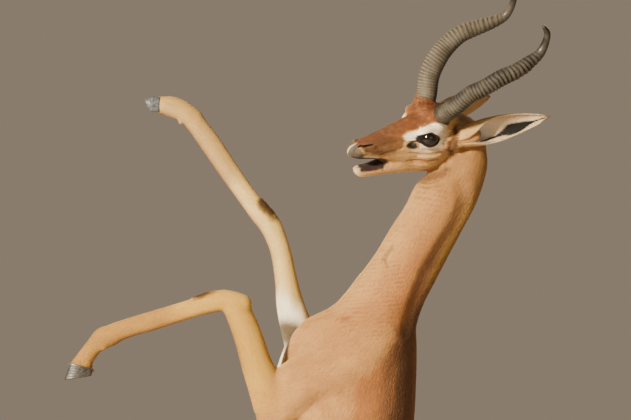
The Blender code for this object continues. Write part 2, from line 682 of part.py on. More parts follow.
def add_ear(bm, name, arc=9):
    base, axis, opening, edge = ear_frame(name)
    rings = []
    for t, a, b, th, half in EAR_SHAPE:
        c = base + axis * EAR_LENGTH * t
        half = math.radians(half)
        ring = []
        for q in np.linspace(-half, half, arc):
            ring.append(bm.verts.new(c + a * math.sin(q) * edge - b * math.cos(q) * opening))
        for q in np.linspace(half * 0.985, -half * 0.985, arc):
            ring.append(bm.verts.new(c + (a - th) * math.sin(q) * edge
                                     - (b - th) * math.cos(q) * opening))
        rings.append(ring)
    n = len(rings[0])
    for lo, hi in zip(rings, rings[1:]):
        for j in range(n):
            bm.faces.new((lo[j], lo[(j + 1) % n], hi[(j + 1) % n], hi[j]))
    for ring, flip in ((rings[0], True), (rings[-1], False)):
        half_n = n // 2
        for j in range(half_n - 1):
            quad = (ring[j], ring[j + 1], ring[n - 2 - j], ring[n - 1 - j])
            bm.faces.new(quad[::-1] if flip else quad)
    bmesh.ops.recalc_face_normals(bm, faces=bm.faces)


for _name in EARS:
    bm = bmesh.new()
    add_ear(bm, _name)
    ear = new_object("rough_" + _name, bm)
    _m = ear.modifiers.new("root", 'BOOLEAN')
    _m.operation = 'DIFFERENCE'
    _m.solver = 'EXACT'
    _m.object = swollen
    mesh = baked(ear)
    bpy.data.objects.remove(ear, do_unlink=True)
    bm = bmesh.new()
    bm.from_mesh(mesh)
    bmesh.ops.triangulate(bm, faces=bm.faces)
    bmesh.ops.dissolve_degenerate(bm, dist=2e-5, edges=bm.edges)
    bm.to_mesh(mesh)
    bm.free()
    finish(_name, mesh, TAN, 0.85)
bpy.data.objects.remove(swollen, do_unlink=True)


# hooves: two claws to each foot, from the coronet's flat down to the sole
def add_claw(bm, rows, sides=10):
    """rows: (front, back, half width); the first lies on the flat of the pastern."""
    table = []
    for front, back, hw in rows:
        table.append(((front + back) / 2, (back - front) / 2, np.array((hw, 0.0, 0.0))))
    loft(bm, table, per=1, sides=sides, start=0, end=0, fullness=2.3)
    bmesh.ops.recalc_face_normals(bm, faces=bm.faces)


def hoof_rows(coronet, way, rows):
    """Grid outlines of one claw, the first pair moved onto the coronet's plane."""
    out = []
    for k, (uf, vf, ub, vb, x, hw) in enumerate(rows):
        a, b = side(uf, vf, x), side(ub, vb, x)
        if k == 0:
            a = a - way * (a - coronet).dot(way) + way * GAP
            b = b - way * (b - coronet).dot(way) + way * GAP
        out.append((a, b, hw))
    return out


FEET = {"left_fore": (COR_LEFT, 0.0165, ((70.5, 363, 92.5, 369, 0.0078), (68, 371, 92.5, 372, 0.0084),
                                         (65, 379, 92, 375, 0.0084))),
        "right_fore": (COR_RIGHT, -0.063, ((157, 96, 157, 111.5, 0.0078),
                                           (150.5, 96, 150, 111, 0.0084),
                                           (144, 98, 148, 108.5, 0.0070)))}
for _s, _tag in ((1.0, "left_hind"), (-1.0, "right_hind")):
    _du = HIND_SHIFT[_s]
    _low = GRID_FLOOR - GAP / GRID
    FEET[_tag] = (COR_HIND[_s], _s * 0.085, ((339 + _du, 1046, 363 + _du, 1053, 0.0080),
                                             (334 + _du, 1057, 363 + _du, 1060, 0.0088),
                                             (328 + _du, _low, 361 + _du, _low, 0.0088)))
for _tag, ((_c, _w), _x, _rows) in FEET.items():
    for _k, _which in ((1, "left_claw"), (-1, "right_claw")):
        bm = bmesh.new()
        add_claw(bm, hoof_rows(_c, _w, [(a, b, c, d, _x + _k * 0.0092, hw)
                                         for a, b, c, d, hw in _rows]))
        mesh = bpy.data.meshes.new("claw")
        bm.to_mesh(mesh)
        bm.free()
        finish(_tag + "_" + _which, mesh, BLACK, 0.5)

# ------------------------------------------------------------------ base
bm = bmesh.new()
bmesh.ops.create_cube(bm, size=1.0, matrix=Matrix.LocRotScale(
    Vector((0, 0, BASE_HEIGHT / 2)), None, Vector((BASE_WIDTH, BASE_LENGTH, BASE_HEIGHT))))
mesh = bpy.data.meshes.new("base")
bm.to_mesh(mesh)
bm.free()
stand = finish("stand_base", mesh, (0.10, 0.075, 0.055), 0.5)
_m = stand.modifiers.new("edge", 'BEVEL')
_m.width = BASE_EDGE
_m.segments = 1
_m.limit_method = 'ANGLE'
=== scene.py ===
"""Finish of the male gerenuk model: skin, coat, horns, eyes, hooves and base.

Metres, +Z up.  The animal faces -Y and its left side is +X.
"""
import math

import bmesh
import bpy
import numpy as np
from mathutils import Matrix, Vector


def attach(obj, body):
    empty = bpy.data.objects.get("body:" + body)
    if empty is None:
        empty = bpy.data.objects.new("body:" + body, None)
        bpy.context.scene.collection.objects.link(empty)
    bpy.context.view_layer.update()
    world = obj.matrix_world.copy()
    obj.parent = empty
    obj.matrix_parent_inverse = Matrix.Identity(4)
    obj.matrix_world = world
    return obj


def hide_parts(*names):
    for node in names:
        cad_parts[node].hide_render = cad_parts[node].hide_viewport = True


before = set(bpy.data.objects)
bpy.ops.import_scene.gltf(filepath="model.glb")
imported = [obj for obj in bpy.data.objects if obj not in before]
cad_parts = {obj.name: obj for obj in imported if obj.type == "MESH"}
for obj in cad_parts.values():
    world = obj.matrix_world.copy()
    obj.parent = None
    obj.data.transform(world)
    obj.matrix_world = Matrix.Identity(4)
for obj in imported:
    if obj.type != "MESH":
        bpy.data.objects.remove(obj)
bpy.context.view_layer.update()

RNG = np.random.default_rng(7)

# ------------------------------------------------------------------ grid and head frame
GRID = 0.0019
GRID_MID = 350.0
GRID_FLOOR = 1066.0
BASE_LENGTH, BASE_WIDTH, BASE_HEIGHT = 0.640, 0.500, 0.030
HEAD_YAW = math.radians(33.0)
HEAD_ROLL = math.radians(33.0)
HEAD_AT = (420.0, 129.3, 0.040)
EYE_RADIUS = 0.0190
EYE_SIDE = 0.0300
HIND_SHIFT = {1.0: 4.0, -1.0: -8.0}
VOXEL = 0.0026
SMOOTH_STEPS = 17


def side(u, v, x=0.0):
    """Grid place to metres."""
    return np.array((x, (u - GRID_MID) * GRID, BASE_HEIGHT + (GRID_FLOOR - v) * GRID))


_sy, _cy = math.sin(HEAD_YAW), math.cos(HEAD_YAW)
_sr, _cr = math.sin(HEAD_ROLL), math.cos(HEAD_ROLL)
HEAD_LEFT = np.array((_cr * _cy, _cr * _sy, -_sr))
HEAD_FORE = np.array((_sy, -_cy, 0.0))
HEAD_UP = np.array((_sr * _cy, _sr * _sy, _cr))
HEAD_ORIGIN = side(*HEAD_AT)
HEAD_AXES = np.array((HEAD_LEFT, HEAD_FORE, HEAD_UP))


def head(x, y, z):
    """Head frame (left, fore, up) to metres."""
    return HEAD_ORIGIN + x * HEAD_LEFT + y * HEAD_FORE + z * HEAD_UP


def head_way(x, y, z):
    d = x * HEAD_LEFT + y * HEAD_FORE + z * HEAD_UP
    return d / np.linalg.norm(d)


def px(du, dv, dx=0.0):
    d = np.array((dx, du, -dv), float)
    return d / np.linalg.norm(d)


def to_head(p):
    """Points to head coordinates (left, fore, up)."""
    return (p - HEAD_ORIGIN) @ HEAD_AXES.T


def on_face(u, v, x):
    """Head (fore, up) of a grid place at the lateral distance x."""
    a = (u - HEAD_AT[0]) * GRID - HEAD_LEFT[1] * x
    b = (HEAD_AT[1] - v) * GRID - HEAD_LEFT[2] * x
    z = b / HEAD_UP[2]
    return np.array(((a - HEAD_UP[1] * z) / HEAD_FORE[1], z))


# ------------------------------------------------------------------ small helpers
def smooth(x, a, b):
    """0 below a, 1 above b, smooth between."""
    t = np.clip((x - a) / (b - a), 0.0, 1.0)
    return t * t * (3 - 2 * t)


def bump(x, w):
    """1 at 0, 0 beyond w, smooth."""
    t = np.clip(np.abs(x) / w, 0.0, 1.0)
    return (1 - t * t) ** 2


def unit(v):
    return v / np.maximum(np.linalg.norm(v, axis=-1, keepdims=True), 1e-12)


def capsule(p, a, b, ra, rb=None):
    """Signed distance of points to a tapered capsule, in any number of axes."""
    rb = ra if rb is None else rb
    a, b = np.asarray(a, float), np.asarray(b, float)
    ab = b - a
    t = np.clip(((p - a) @ ab) / max(ab @ ab, 1e-12), 0, 1)
    return np.linalg.norm(p - a - t[:, None] * ab, axis=1) - (ra + (rb - ra) * t)


def stroke(p, pts, radii):
    """Signed distance of points to a chain of tapered capsules."""
    d = np.full(len(p), 1e9)
    for k in range(len(pts) - 1):
        d = np.minimum(d, capsule(p, pts[k], pts[k + 1], radii[k], radii[k + 1]))
    return d


def hash_noise(p, scale, seed=0):
    """Value noise in three axes, -1..1."""
    q = p / scale
    i = np.floor(q).astype(np.int64)
    f = q - i
    f = f * f * (3 - 2 * f)
    out = np.zeros(len(p))
    for dx in (0, 1):
        for dy in (0, 1):
            for dz in (0, 1):
                n = (i[:, 0] + dx) * 73856093 ^ (i[:, 1] + dy) * 19349663 ^ (i[:, 2] + dz) * 83492791
                n = (n ^ (seed * 2654435)) & 0x7fffffff
                n = (n * 1103515245 + 12345) & 0x7fffffff
                n = (n ^ (n >> 13)) * 60493 & 0x7fffffff
                r = (n & 0xffff) / 32767.5 - 1
                w = ((f[:, 0] if dx else 1 - f[:, 0]) * (f[:, 1] if dy else 1 - f[:, 1])
                     * (f[:, 2] if dz else 1 - f[:, 2]))
                out += r * w
    return out


def fractal(p, scale, octaves=3, seed=0):
    out, amp = np.zeros(len(p)), 1.0
    for k in range(octaves):
        out += amp * hash_noise(p, scale / 2 ** k, seed + k)
        amp *= 0.5
    return out / 1.75


def new_mesh_object(name, verts, faces, smooth_shade=True):
    """Object from a vertex array and a list or array of faces."""
    mesh = bpy.data.meshes.new(name)
    verts = np.asarray(verts, np.float32)
    if isinstance(faces, np.ndarray):
        n, k = faces.shape
        mesh.vertices.add(len(verts))
        mesh.vertices.foreach_set("co", verts.ravel())
        mesh.loops.add(n * k)
        mesh.loops.foreach_set("vertex_index", faces.astype(np.int32).ravel())
        mesh.polygons.add(n)
        mesh.polygons.foreach_set("loop_start", np.arange(0, n * k, k, dtype=np.int32))
        mesh.update(calc_edges=True)
    else:
        mesh.from_pydata(verts.tolist(), [], faces)
    if smooth_shade:
        mesh.shade_smooth()
    ob = bpy.data.objects.new(name, mesh)
    bpy.context.scene.collection.objects.link(ob)
    return ob


def coords(mesh):
    co = np.empty(len(mesh.vertices) * 3, np.float32)
    mesh.vertices.foreach_get("co", co)
    return co.reshape(-1, 3).astype(float)


def set_coords(mesh, co):
    mesh.vertices.foreach_set("co", co.astype(np.float32).ravel())
    mesh.update()


def baked(ob):
    deps = bpy.context.evaluated_depsgraph_get()
    deps.update()
    return bpy.data.meshes.new_from_object(ob.evaluated_get(deps))


def bake_in_place(ob):
    """Applies the object's modifiers."""
    mesh = baked(ob)
    ob.modifiers.clear()
    ob.data = mesh
    return mesh


def colour_attribute(mesh, name, rgb):
    at = mesh.color_attributes.new(name, 'FLOAT_COLOR', 'POINT')
    data = np.ones((len(rgb), 4), np.float32)
    data[:, :3] = rgb
    at.data.foreach_set("color", data.ravel())


def vertex_normals(mesh):
    n = np.empty(len(mesh.vertices) * 3, np.float32)
    mesh.vertex_normals.foreach_get("vector", n)
    return n.reshape(-1, 3).astype(float)


# ------------------------------------------------------------------ camera, lights, floor
LOOK_AT = side(315.5, 210.0, 0.0)
FIELD = 631 * GRID
CAMERA_AWAY = 9.0


def add_camera():
    cam = bpy.data.cameras.new("camera")
    ob = bpy.data.objects.new("camera", cam)
    bpy.context.scene.collection.objects.link(ob)
    ob.location = (CAMERA_AWAY, LOOK_AT[1], LOOK_AT[2])
    ob.rotation_euler = (math.radians(90), 0, math.radians(90))
    cam.sensor_fit = 'HORIZONTAL'
    cam.sensor_width = 36.0
    cam.lens = 36.0 * CAMERA_AWAY / FIELD
    cam.clip_end = 100.0
    bpy.context.scene.camera = ob


def add_light(name, place, aim, size, power, colour):
    light = bpy.data.lights.new(name, 'AREA')
    light.shape = 'DISK'
    light.size = size
    light.energy = power
    light.color = colour
    ob = bpy.data.objects.new(name, light)
    ob.location = place
    ob.rotation_euler = (Vector(aim) - Vector(place)).to_track_quat('-Z', 'Y').to_euler()
    bpy.context.scene.collection.objects.link(ob)


AIR = (0.262, 0.206, 0.152)                 # tone of the backdrop and of the soft light


def add_studio():
    add_light("key", (5.6, -4.2, 3.7), (0, 0, 1.35), 0.9, 1640, (1.0, 0.90, 0.735))
    add_light("fill", (5.5, 3.0, 2.2), (0, 0, 1.3), 3.0, 30, (0.95, 0.93, 1.0))
    add_light("back", (-4.5, 1.5, 4.0), (0, 0, 1.3), 2.6, 110, (1.0, 0.93, 0.84))
    world = bpy.data.worlds.new("studio")
    world.use_nodes = True
    bg = world.node_tree.nodes["Background"]
    bg.inputs["Color"].default_value = (*AIR, 1.0)
    bg.inputs["Strength"].default_value = 1.0
    bpy.context.scene.world = world
    bpy.ops.mesh.primitive_plane_add(size=26.0, location=(0, 0, 0))
    floor = bpy.context.object
    floor.name = "floor"
    mat, nodes, links, bsdf = new_material("floor", (0.62, 0.56, 0.49), 0.8)
    noise = nodes.new("ShaderNodeTexNoise")
    noise.inputs["Scale"].default_value = 3.0
    noise.inputs["Detail"].default_value = 4.0
    ramp = nodes.new("ShaderNodeValToRGB")
    ramp.color_ramp.elements[0].color = (0.56, 0.50, 0.43, 1)
    ramp.color_ramp.elements[1].color = (0.64, 0.58, 0.50, 1)
    links.new(noise.outputs["Fac"], ramp.inputs["Fac"])
    links.new(ramp.outputs["Color"], bsdf.inputs["Base Color"])
    # the floor passes into the backdrop's tone away from the model
    place = nodes.new("ShaderNodeTexCoord").outputs["Object"]
    far = nodes.new("ShaderNodeVectorMath")
    far.operation = 'LENGTH'
    links.new(place, far.inputs[0])
    glow = nodes.new("ShaderNodeEmission")
    glow.inputs["Color"].default_value = (*AIR, 1.0)
    mixed = nodes.new("ShaderNodeMixShader")
    fade = nodes.new("ShaderNodeMapRange")
    fade.interpolation_type = 'SMOOTHSTEP'
    fade.inputs["From Min"].default_value = 1.6
    fade.inputs["From Max"].default_value = 7.5
    links.new(far.outputs["Value"], fade.inputs["Value"])
    links.new(fade.outputs["Result"], mixed.inputs[0])
    links.new(bsdf.outputs[0], mixed.inputs[1])
    links.new(glow.outputs[0], mixed.inputs[2])
    links.new(mixed.outputs[0], nodes["Material Output"].inputs["Surface"])
    floor.data.materials.append(mat)


# ------------------------------------------------------------------ material helpers
def new_material(name, colour, rough):
    mat = bpy.data.materials.new(name)
    mat.use_nodes = True
    nodes, links = mat.node_tree.nodes, mat.node_tree.links
    bsdf = nodes["Principled BSDF"]
    bsdf.inputs["Base Color"].default_value = (*colour, 1.0)
    bsdf.inputs["Roughness"].default_value = rough
    return mat, nodes, links, bsdf


def noise_node(nodes, links, vector, scale, detail=3.0, rough=0.55):
    n = nodes.new("ShaderNodeTexNoise")
    n.inputs["Scale"].default_value = scale
    n.inputs["Detail"].default_value = detail
    n.inputs["Roughness"].default_value = rough
    if vector is not None:
        links.new(vector, n.inputs["Vector"])
    return n.outputs["Fac"]


def mix_colour(nodes, links, fac, a, b, mode='MIX'):
    m = nodes.new("ShaderNodeMix")
    m.data_type = 'RGBA'
    m.blend_type = mode
    for value, key in ((fac, 0), (a, 6), (b, 7)):
        if isinstance(value, (int, float)):
            m.inputs[key].default_value = value
        elif isinstance(value, tuple):
            m.inputs[key].default_value = (*value, 1.0)
        else:
            links.new(value, m.inputs[key])
    return m.outputs[2]


def remap(nodes, links, value, a, b, c, d):
    m = nodes.new("ShaderNodeMapRange")
    links.new(value, m.inputs["Value"])
    for key, val in (("From Min", a), ("From Max", b), ("To Min", c), ("To Max", d)):
        m.inputs[key].default_value = val
    return m.outputs["Result"]


def bump_node(nodes, links, bsdf, height, distance, strength=1.0):
    b = nodes.new("ShaderNodeBump")
    b.inputs["Distance"].default_value = distance
    b.inputs["Strength"].default_value = strength
    links.new(height, b.inputs["Height"])
    old = bsdf.inputs["Normal"].links
    if old:
        links.new(old[0].from_socket, b.inputs["Normal"])
    links.new(b.outputs["Normal"], bsdf.inputs["Normal"])


add_camera()
add_studio()
# ------------------------------------------------------------------ lofting
TRACKS, WIDTHS = [], []      # middle line and mean radius of every sweep, in the order made


def spline(points, t):
    """Catmull-Rom curve through rows of points, at parameters t in 0..len-1."""
    pts = np.asarray(points, float)
    n = len(pts)
    ext = np.vstack((2 * pts[0] - pts[1], pts, 2 * pts[-1] - pts[-2]))
    i = np.clip(np.floor(t).astype(int), 0, n - 2)
    f = (t - i)[:, None]
    a, b, c, d = ext[i], ext[i + 1], ext[i + 2], ext[i + 3]
    return 0.5 * (2 * b + (c - a) * f + (2 * a - 5 * b + 4 * c - d) * f * f
                  + (3 * b - a - 3 * c + d) * f ** 3)


def loft(bm, rows, per=4, sides=20, start=1.0, end=1.0, fullness=2.15):
    """Closed tube.  rows: (centre, half depth vector, half width vector).

    start and end are the bulge of the two closing caps, as a share of the
    section's own half width.
    """
    TRACKS.append(np.array([r[0] for r in rows]))
    WIDTHS.append(np.array([0.5 * (np.linalg.norm(r[1]) + np.linalg.norm(r[2])) for r in rows]))
    table = np.array([np.concatenate(r) for r in rows])
    t = np.linspace(0, len(rows) - 1, (len(rows) - 1) * per + 1)
    dense = spline(table, t)
    rings = []

    def cap(row, along, bulge):
        reach = min(np.linalg.norm(row[3:6]), np.linalg.norm(row[6:9])) * bulge
        out = []
        for k in (0.95, 0.8, 0.55, 0.25):
            ang = math.acos(k)
            out.append(np.concatenate((row[:3] + along * reach * math.sin(ang),
                                       row[3:6] * k, row[6:9] * k)))
        return out

    a0 = dense[0, :3] - dense[1, :3]
    a1 = dense[-1, :3] - dense[-2, :3]
    body = list(dense)
    if start:
        body = cap(dense[0], a0 / np.linalg.norm(a0), start)[::-1] + body
    if end:
        body = body + cap(dense[-1], a1 / np.linalg.norm(a1), end)
    for row in body:
        ring = []
        for k in range(sides):
            ang = 2 * math.pi * k / sides
            c, s = math.cos(ang), math.sin(ang)
            c = math.copysign(abs(c) ** (2 / fullness), c)
            s = math.copysign(abs(s) ** (2 / fullness), s)
            ring.append(bm.verts.new(row[:3] + c * row[3:6] + s * row[6:9]))
        rings.append(ring)
    for lo, hi in zip(rings, rings[1:]):
        for k in range(sides):
            j = (k + 1) % sides
            bm.faces.new((lo[k], lo[j], hi[j], hi[k]))
    bm.faces.new(rings[0][::-1])
    bm.faces.new(rings[-1])
    return rings


def pairs(stations, width=(1.0, 0.0, 0.0)):
    """Rows from grid stations (u front, v front, u back, v back, x, half width)."""
    wide = np.array(width)
    rows = []
    for uf, vf, ub, vb, x, hw in stations:
        a, b = side(uf, vf, x), side(ub, vb, x)
        rows.append(((a + b) / 2, (b - a) / 2, wide * hw))
    return rows


def head_rows(stations):
    """Rows from head stations (y, z top, z bottom, half width)."""
    rows = []
    for y, top, low, hw in stations:
        rows.append((head(0, y, (top + low) / 2), HEAD_UP * (top - low) / 2,
                     HEAD_LEFT * hw))
    return rows


def blob(bm, centre, radii, axes=None, seg=16):
    """Ellipsoid with the given half sizes along three axes."""
    m = np.array(axes if axes is not None else (HEAD_LEFT, HEAD_FORE, HEAD_UP))
    mat = Matrix([[m[j][i] * radii[j] for j in range(3)] + [centre[i]] for i in range(3)]
                 + [[0, 0, 0, 1]])
    bmesh.ops.create_uvsphere(bm, u_segments=seg, v_segments=seg // 2 + 2, radius=1.0,
                              matrix=mat)


def rod(bm, a, b, r0, r1, sides=20):
    """Round tapered rod between two points."""
    a, b = np.asarray(a, float), np.asarray(b, float)
    t = (b - a) / np.linalg.norm(b - a)
    side_axis = np.cross(t, (0.0, 0.31, 0.95))
    side_axis /= np.linalg.norm(side_axis)
    other = np.cross(t, side_axis)
    loft(bm, [(a, side_axis * r0, other * r0), (b, side_axis * r1, other * r1)], per=3,
         sides=sides, fullness=2.0)


# ------------------------------------------------------------------ the flesh
def add_body(bm):
    """Neck and trunk in one sweep from the nape to the buttocks."""
    loft(bm, pairs((
        (447, 148, 486, 140, -0.015, 0.035),
        (431, 170, 488, 168, -0.013, 0.040),
        (416.5, 183, 478, 201, -0.009, 0.044),
        (404, 206, 462, 232, -0.005, 0.046),
        (388, 230, 449, 256, -0.002, 0.049),
        (373, 255, 436, 281, 0.000, 0.054),
        (356, 278, 423, 307, 0.000, 0.064),
        (334, 304, 416, 330, 0.000, 0.080),
        (303, 321, 414, 350, 0.000, 0.092),
        (285, 348, 415, 372, 0.000, 0.099),
        (276, 384, 415, 398, 0.000, 0.103),
        (268, 418, 413, 426, 0.000, 0.105),
        (266, 452, 410, 455, 0.000, 0.107),
        (272, 488, 406, 487, 0.000, 0.106),
        (286, 526, 403, 522, 0.000, 0.099),
        (303, 562, 402, 556, 0.000, 0.089),
        (316, 598, 405, 592, 0.000, 0.085),
        (326, 632, 410, 628, 0.000, 0.089),
        (338, 660, 415, 660, 0.000, 0.082),
        (362, 684, 411, 684, 0.000, 0.056))), sides=32, end=0.9)
    # withers and the long muscle of the back, a low ridge
    loft(bm, pairs(((398, 322, 417, 334, 0, 0.030), (392, 372, 417, 376, 0, 0.040),
                    (388, 440, 413, 444, 0, 0.045), (382, 520, 405, 524, 0, 0.042),
                    (388, 600, 408, 602, 0, 0.040))), sides=16)


def add_shoulder(bm, s, elbow_u, elbow_v, x_elbow):
    """Shoulder blade and upper arm down to the elbow; s is the side's sign."""
    loft(bm, pairs(((352, 326, 404, 342, s * 0.052, 0.026),
                    (322, 338, 392, 366, s * 0.068, 0.034),
                    (298, 352, 362, 388, s * 0.078, 0.036),
                    (elbow_u + 2, elbow_v - 30, elbow_u + 58, elbow_v - 8, x_elbow * 0.97, 0.033),
                    (elbow_u - 12, elbow_v + 6, elbow_u + 32, elbow_v + 12, x_elbow, 0.028))),
         sides=20)


def add_left_foreleg(bm):
    """Near foreleg, folded at elbow and knee."""
    add_shoulder(bm, 1.0, 270, 402, 0.086)
    loft(bm, pairs(((257, 420, 296, 408, 0.086, 0.028),
                    (250, 393, 287, 384, 0.087, 0.029),
                    (243, 368, 273, 360, 0.089, 0.026),
                    (237, 345, 265, 338, 0.091, 0.0225),
                    (231, 326, 258, 320, 0.094, 0.0200),
                    (226, 313, 252, 308, 0.096, 0.0190),
                    (224, 301, 249, 302, 0.097, 0.0190))), sides=16)
    loft(bm, pairs(((244, 293, 243, 312, 0.097, 0.0185),
                    (223, 289, 225, 310, 0.093, 0.0190),
                    (199, 296, 203, 314.5, 0.084, 0.0152),
                    (176, 303.5, 181, 321, 0.070, 0.0134),
                    (149, 311.5, 153.5, 330, 0.053, 0.0130),
                    (126, 318.5, 131.5, 336.5, 0.038, 0.0134),
                    (109, 324.5, 116, 343, 0.028, 0.0160))), sides=16)
    loft(bm, pairs(((112, 325, 115, 345, 0.029, 0.0160),
                    (99, 328, 105, 348.5, 0.025, 0.0172),
                    (88, 341, 98, 355, 0.020, 0.0150),
                    (78, 354, 93, 363, 0.017, 0.0152),
                    (71.5, 364, 92.5, 369.5, 0.015, 0.0150),
                    (69.5, 369, 92.5, 374, 0.014, 0.0150))), sides=16)
    for k in (-1, 1):       # dewclaws
        blob(bm, side(104, 347.5, 0.025 + k * 0.009), (0.0050, 0.0065, 0.0060),
             ((1, 0, 0), (0, 1, 0), (0, 0, 1)), 12)


def add_right_foreleg(bm):
    """Far foreleg, reaching up in front of the face."""
    add_shoulder(bm, -1.0, 286, 368, -0.076)
    loft(bm, pairs(((286, 356, 322, 350, -0.076, 0.029),
                    (280, 331, 312, 323, -0.075, 0.0285),
                    (276, 306, 303, 300, -0.074, 0.0250),
                    (275, 284, 297, 279, -0.072, 0.0215),
                    (272, 261, 292, 256, -0.070, 0.0188),
                    (268, 246.5, 287, 238, -0.069, 0.0182),
                    (261, 231.5, 279.5, 219.5, -0.068, 0.0192),
                    (250, 217.5, 268.5, 207, -0.067, 0.0178),
                    (236.5, 198.5, 253, 189, -0.066, 0.0150),
                    (218, 173, 235.5, 163, -0.065, 0.0130),
                    (199.5, 146.5, 218, 136.5, -0.064, 0.0130),
                    (189, 131, 206, 121, -0.063, 0.0140),
                    (182, 122.5, 199, 110.5, -0.063, 0.0168))), sides=16)
    loft(bm, pairs(((188, 125.5, 199.5, 111, -0.063, 0.0160),
                    (179, 120, 187, 101.5, -0.063, 0.0170),
                    (169, 116.5, 174, 96, -0.063, 0.0150),
                    (160, 113, 161, 95.5, -0.063, 0.0150),
                    (153, 111, 154, 95.5, -0.063, 0.0148))), sides=16)
    for k in (-1, 1):
        blob(bm, side(180, 121.5, -0.063 + k * 0.009), (0.0050, 0.0060, 0.0060),
             ((1, 0, 0), (0, 1, 0), (0, 0, 1)), 12)


def add_hind_leg(bm, s, du):
    """Hind leg; s is the side's sign and du moves the foot along the grid."""
    loft(bm, pairs(((324, 618, 400, 628, s * 0.052, 0.034),
                    (316, 652, 408, 662, s * 0.062, 0.046),
                    (309 + du * 0.2, 688, 402 + du * 0.2, 700, s * 0.070, 0.047),
                    (307 + du * 0.4, 718, 382 + du * 0.4, 732, s * 0.076, 0.042),
                    (311 + du * 0.5, 745, 368 + du * 0.5, 756, s * 0.079, 0.035),
                    (323 + du * 0.6, 773, 368 + du * 0.6, 782, s * 0.081, 0.031),
                    (341 + du * 0.7, 803, 376 + du * 0.7, 809, s * 0.083, 0.0250),
                    (357 + du * 0.8, 833, 387 + du * 0.8, 836, s * 0.084, 0.0200),
                    (367 + du * 0.9, 855, 399 + du * 0.9, 851, s * 0.085, 0.0182),
                    (371 + du, 877, 403 + du, 867, s * 0.085, 0.0200),
                    (371 + du, 898, 396 + du, 896, s * 0.085, 0.0180),
                    (369 + du, 929, 388 + du, 929, s * 0.085, 0.0142),
                    (364 + du, 969, 382 + du, 970, s * 0.085, 0.0132),
                    (359 + du, 1002, 379 + du, 1004, s * 0.085, 0.0150),
                    (355 + du, 1019, 380 + du, 1023, s * 0.085, 0.0178))), sides=18)
    loft(bm, pairs(((358 + du, 1012, 380 + du, 1019, s * 0.085, 0.0165),
                    (354 + du, 1020, 379 + du, 1028, s * 0.085, 0.0175),
                    (345 + du, 1034, 368 + du, 1041, s * 0.085, 0.0158),
                    (339 + du, 1046, 363 + du, 1053, s * 0.085, 0.0162),
                    (335 + du, 1053, 361 + du, 1060, s * 0.085, 0.0162))), sides=16)
    for k in (-1, 1):
        blob(bm, side(379 + du, 1030, s * 0.085 + k * 0.010), (0.0052, 0.0058, 0.0070),
             ((1, 0, 0), (0, 1, 0), (0, 0, 1)), 12)


def add_tail(bm):
    loft(bm, pairs(((406, 655, 416, 644, 0.0, 0.013),
                    (413, 672, 424, 662, 0.0, 0.013),
                    (419, 698, 430, 692, 0.002, 0.0105),
                    (422, 730, 432, 728, 0.004, 0.0090),
                    (421, 762, 433, 762, 0.005, 0.0100),
                    (418, 790, 433, 790, 0.006, 0.0125),
                    (419, 815, 430, 815, 0.006, 0.0080))), sides=12, end=1.6)


def add_head(bm):
    # skull and upper jaw, muzzle first
    loft(bm, head_rows((
        (0.139, -0.0370, -0.0610, 0.0120),
        (0.131, -0.0310, -0.0640, 0.0165),
        (0.118, -0.0240, -0.0650, 0.0182),
        (0.098, -0.0130, -0.0650, 0.0190),
        (0.074, 0.0000, -0.0660, 0.0222),
        (0.050, 0.0130, -0.0700, 0.0272),
        (0.026, 0.0260, -0.0750, 0.0330),
        (0.002, 0.0390, -0.0780, 0.0370),
        (-0.024, 0.0470, -0.0770, 0.0390),
        (-0.050, 0.0460, -0.0680, 0.0390),
        (-0.078, 0.0380, -0.0520, 0.0370),
        (-0.102, 0.0260, -0.0360, 0.0320))), sides=24, start=0.7, end=0.8)
    # lower jaw, a little open
    loft(bm, head_rows((
        (0.113, -0.0865, -0.1000, 0.0105),
        (0.104, -0.0830, -0.1055, 0.0132),
        (0.088, -0.0800, -0.1035, 0.0145),
        (0.064, -0.0700, -0.0985, 0.0180),
        (0.034, -0.0550, -0.0940, 0.0230),
        (0.000, -0.0400, -0.0900, 0.0285),
        (-0.034, -0.0280, -0.0880, 0.0315),
        (-0.060, -0.0200, -0.0790, 0.0300))), sides=20, start=0.8)
    blob(bm, head(0, -0.012, 0.0370), (0.0360, 0.0290, 0.0150))                  # forehead tuft
    for s in (-1, 1):
        blob(bm, head(s * 0.0265, -0.022, -0.040), (0.0150, 0.0380, 0.0330))     # cheek
        blob(bm, head(s * 0.0285, 0.000, 0.001), (0.0165, 0.0270, 0.0240))       # orbit
        blob(bm, head(s * 0.0300, 0.003, 0.0225), (0.0155, 0.0230, 0.0120))      # brow
        blob(bm, head(s * 0.0115, 0.124, -0.043), (0.0085, 0.0130, 0.0105))      # nostril wing
        rod(bm, head(s * 0.024, -0.008, 0.020), head(s * 0.0425, -0.0180, 0.0720),
            0.0220, 0.0188)                                                     # horn foot


def add_ear_foot(bm, base, way):
    rod(bm, base - way * 0.030, base + way * 0.020, 0.0200, 0.0165)


# ear roots, the way each ear points and the way its cup opens, in the head frame
EARS = {
    "left_ear": (head(0.0420, -0.0700, 0.0085), (0.055, -0.137, 0.0825), (0.87, 0.46, -0.03)),
    "right_ear": (head(-0.0400, -0.0720, 0.0165), (-0.075, -0.158, -0.011), (-0.87, 0.46, -0.03)),
}
EAR_LENGTH = 0.168


def ear_frame(name):
    """Root, unit axis, opening direction and edge direction of an ear."""
    base, way, face = EARS[name]
    axis = way[0] * HEAD_LEFT + way[1] * HEAD_FORE + way[2] * HEAD_UP
    axis = axis / np.linalg.norm(axis)
    opening = face[0] * HEAD_LEFT + face[1] * HEAD_FORE + face[2] * HEAD_UP
    opening = opening - axis * opening.dot(axis)
    opening /= np.linalg.norm(opening)
    edge = np.cross(axis, opening)
    return base, axis, opening, edge


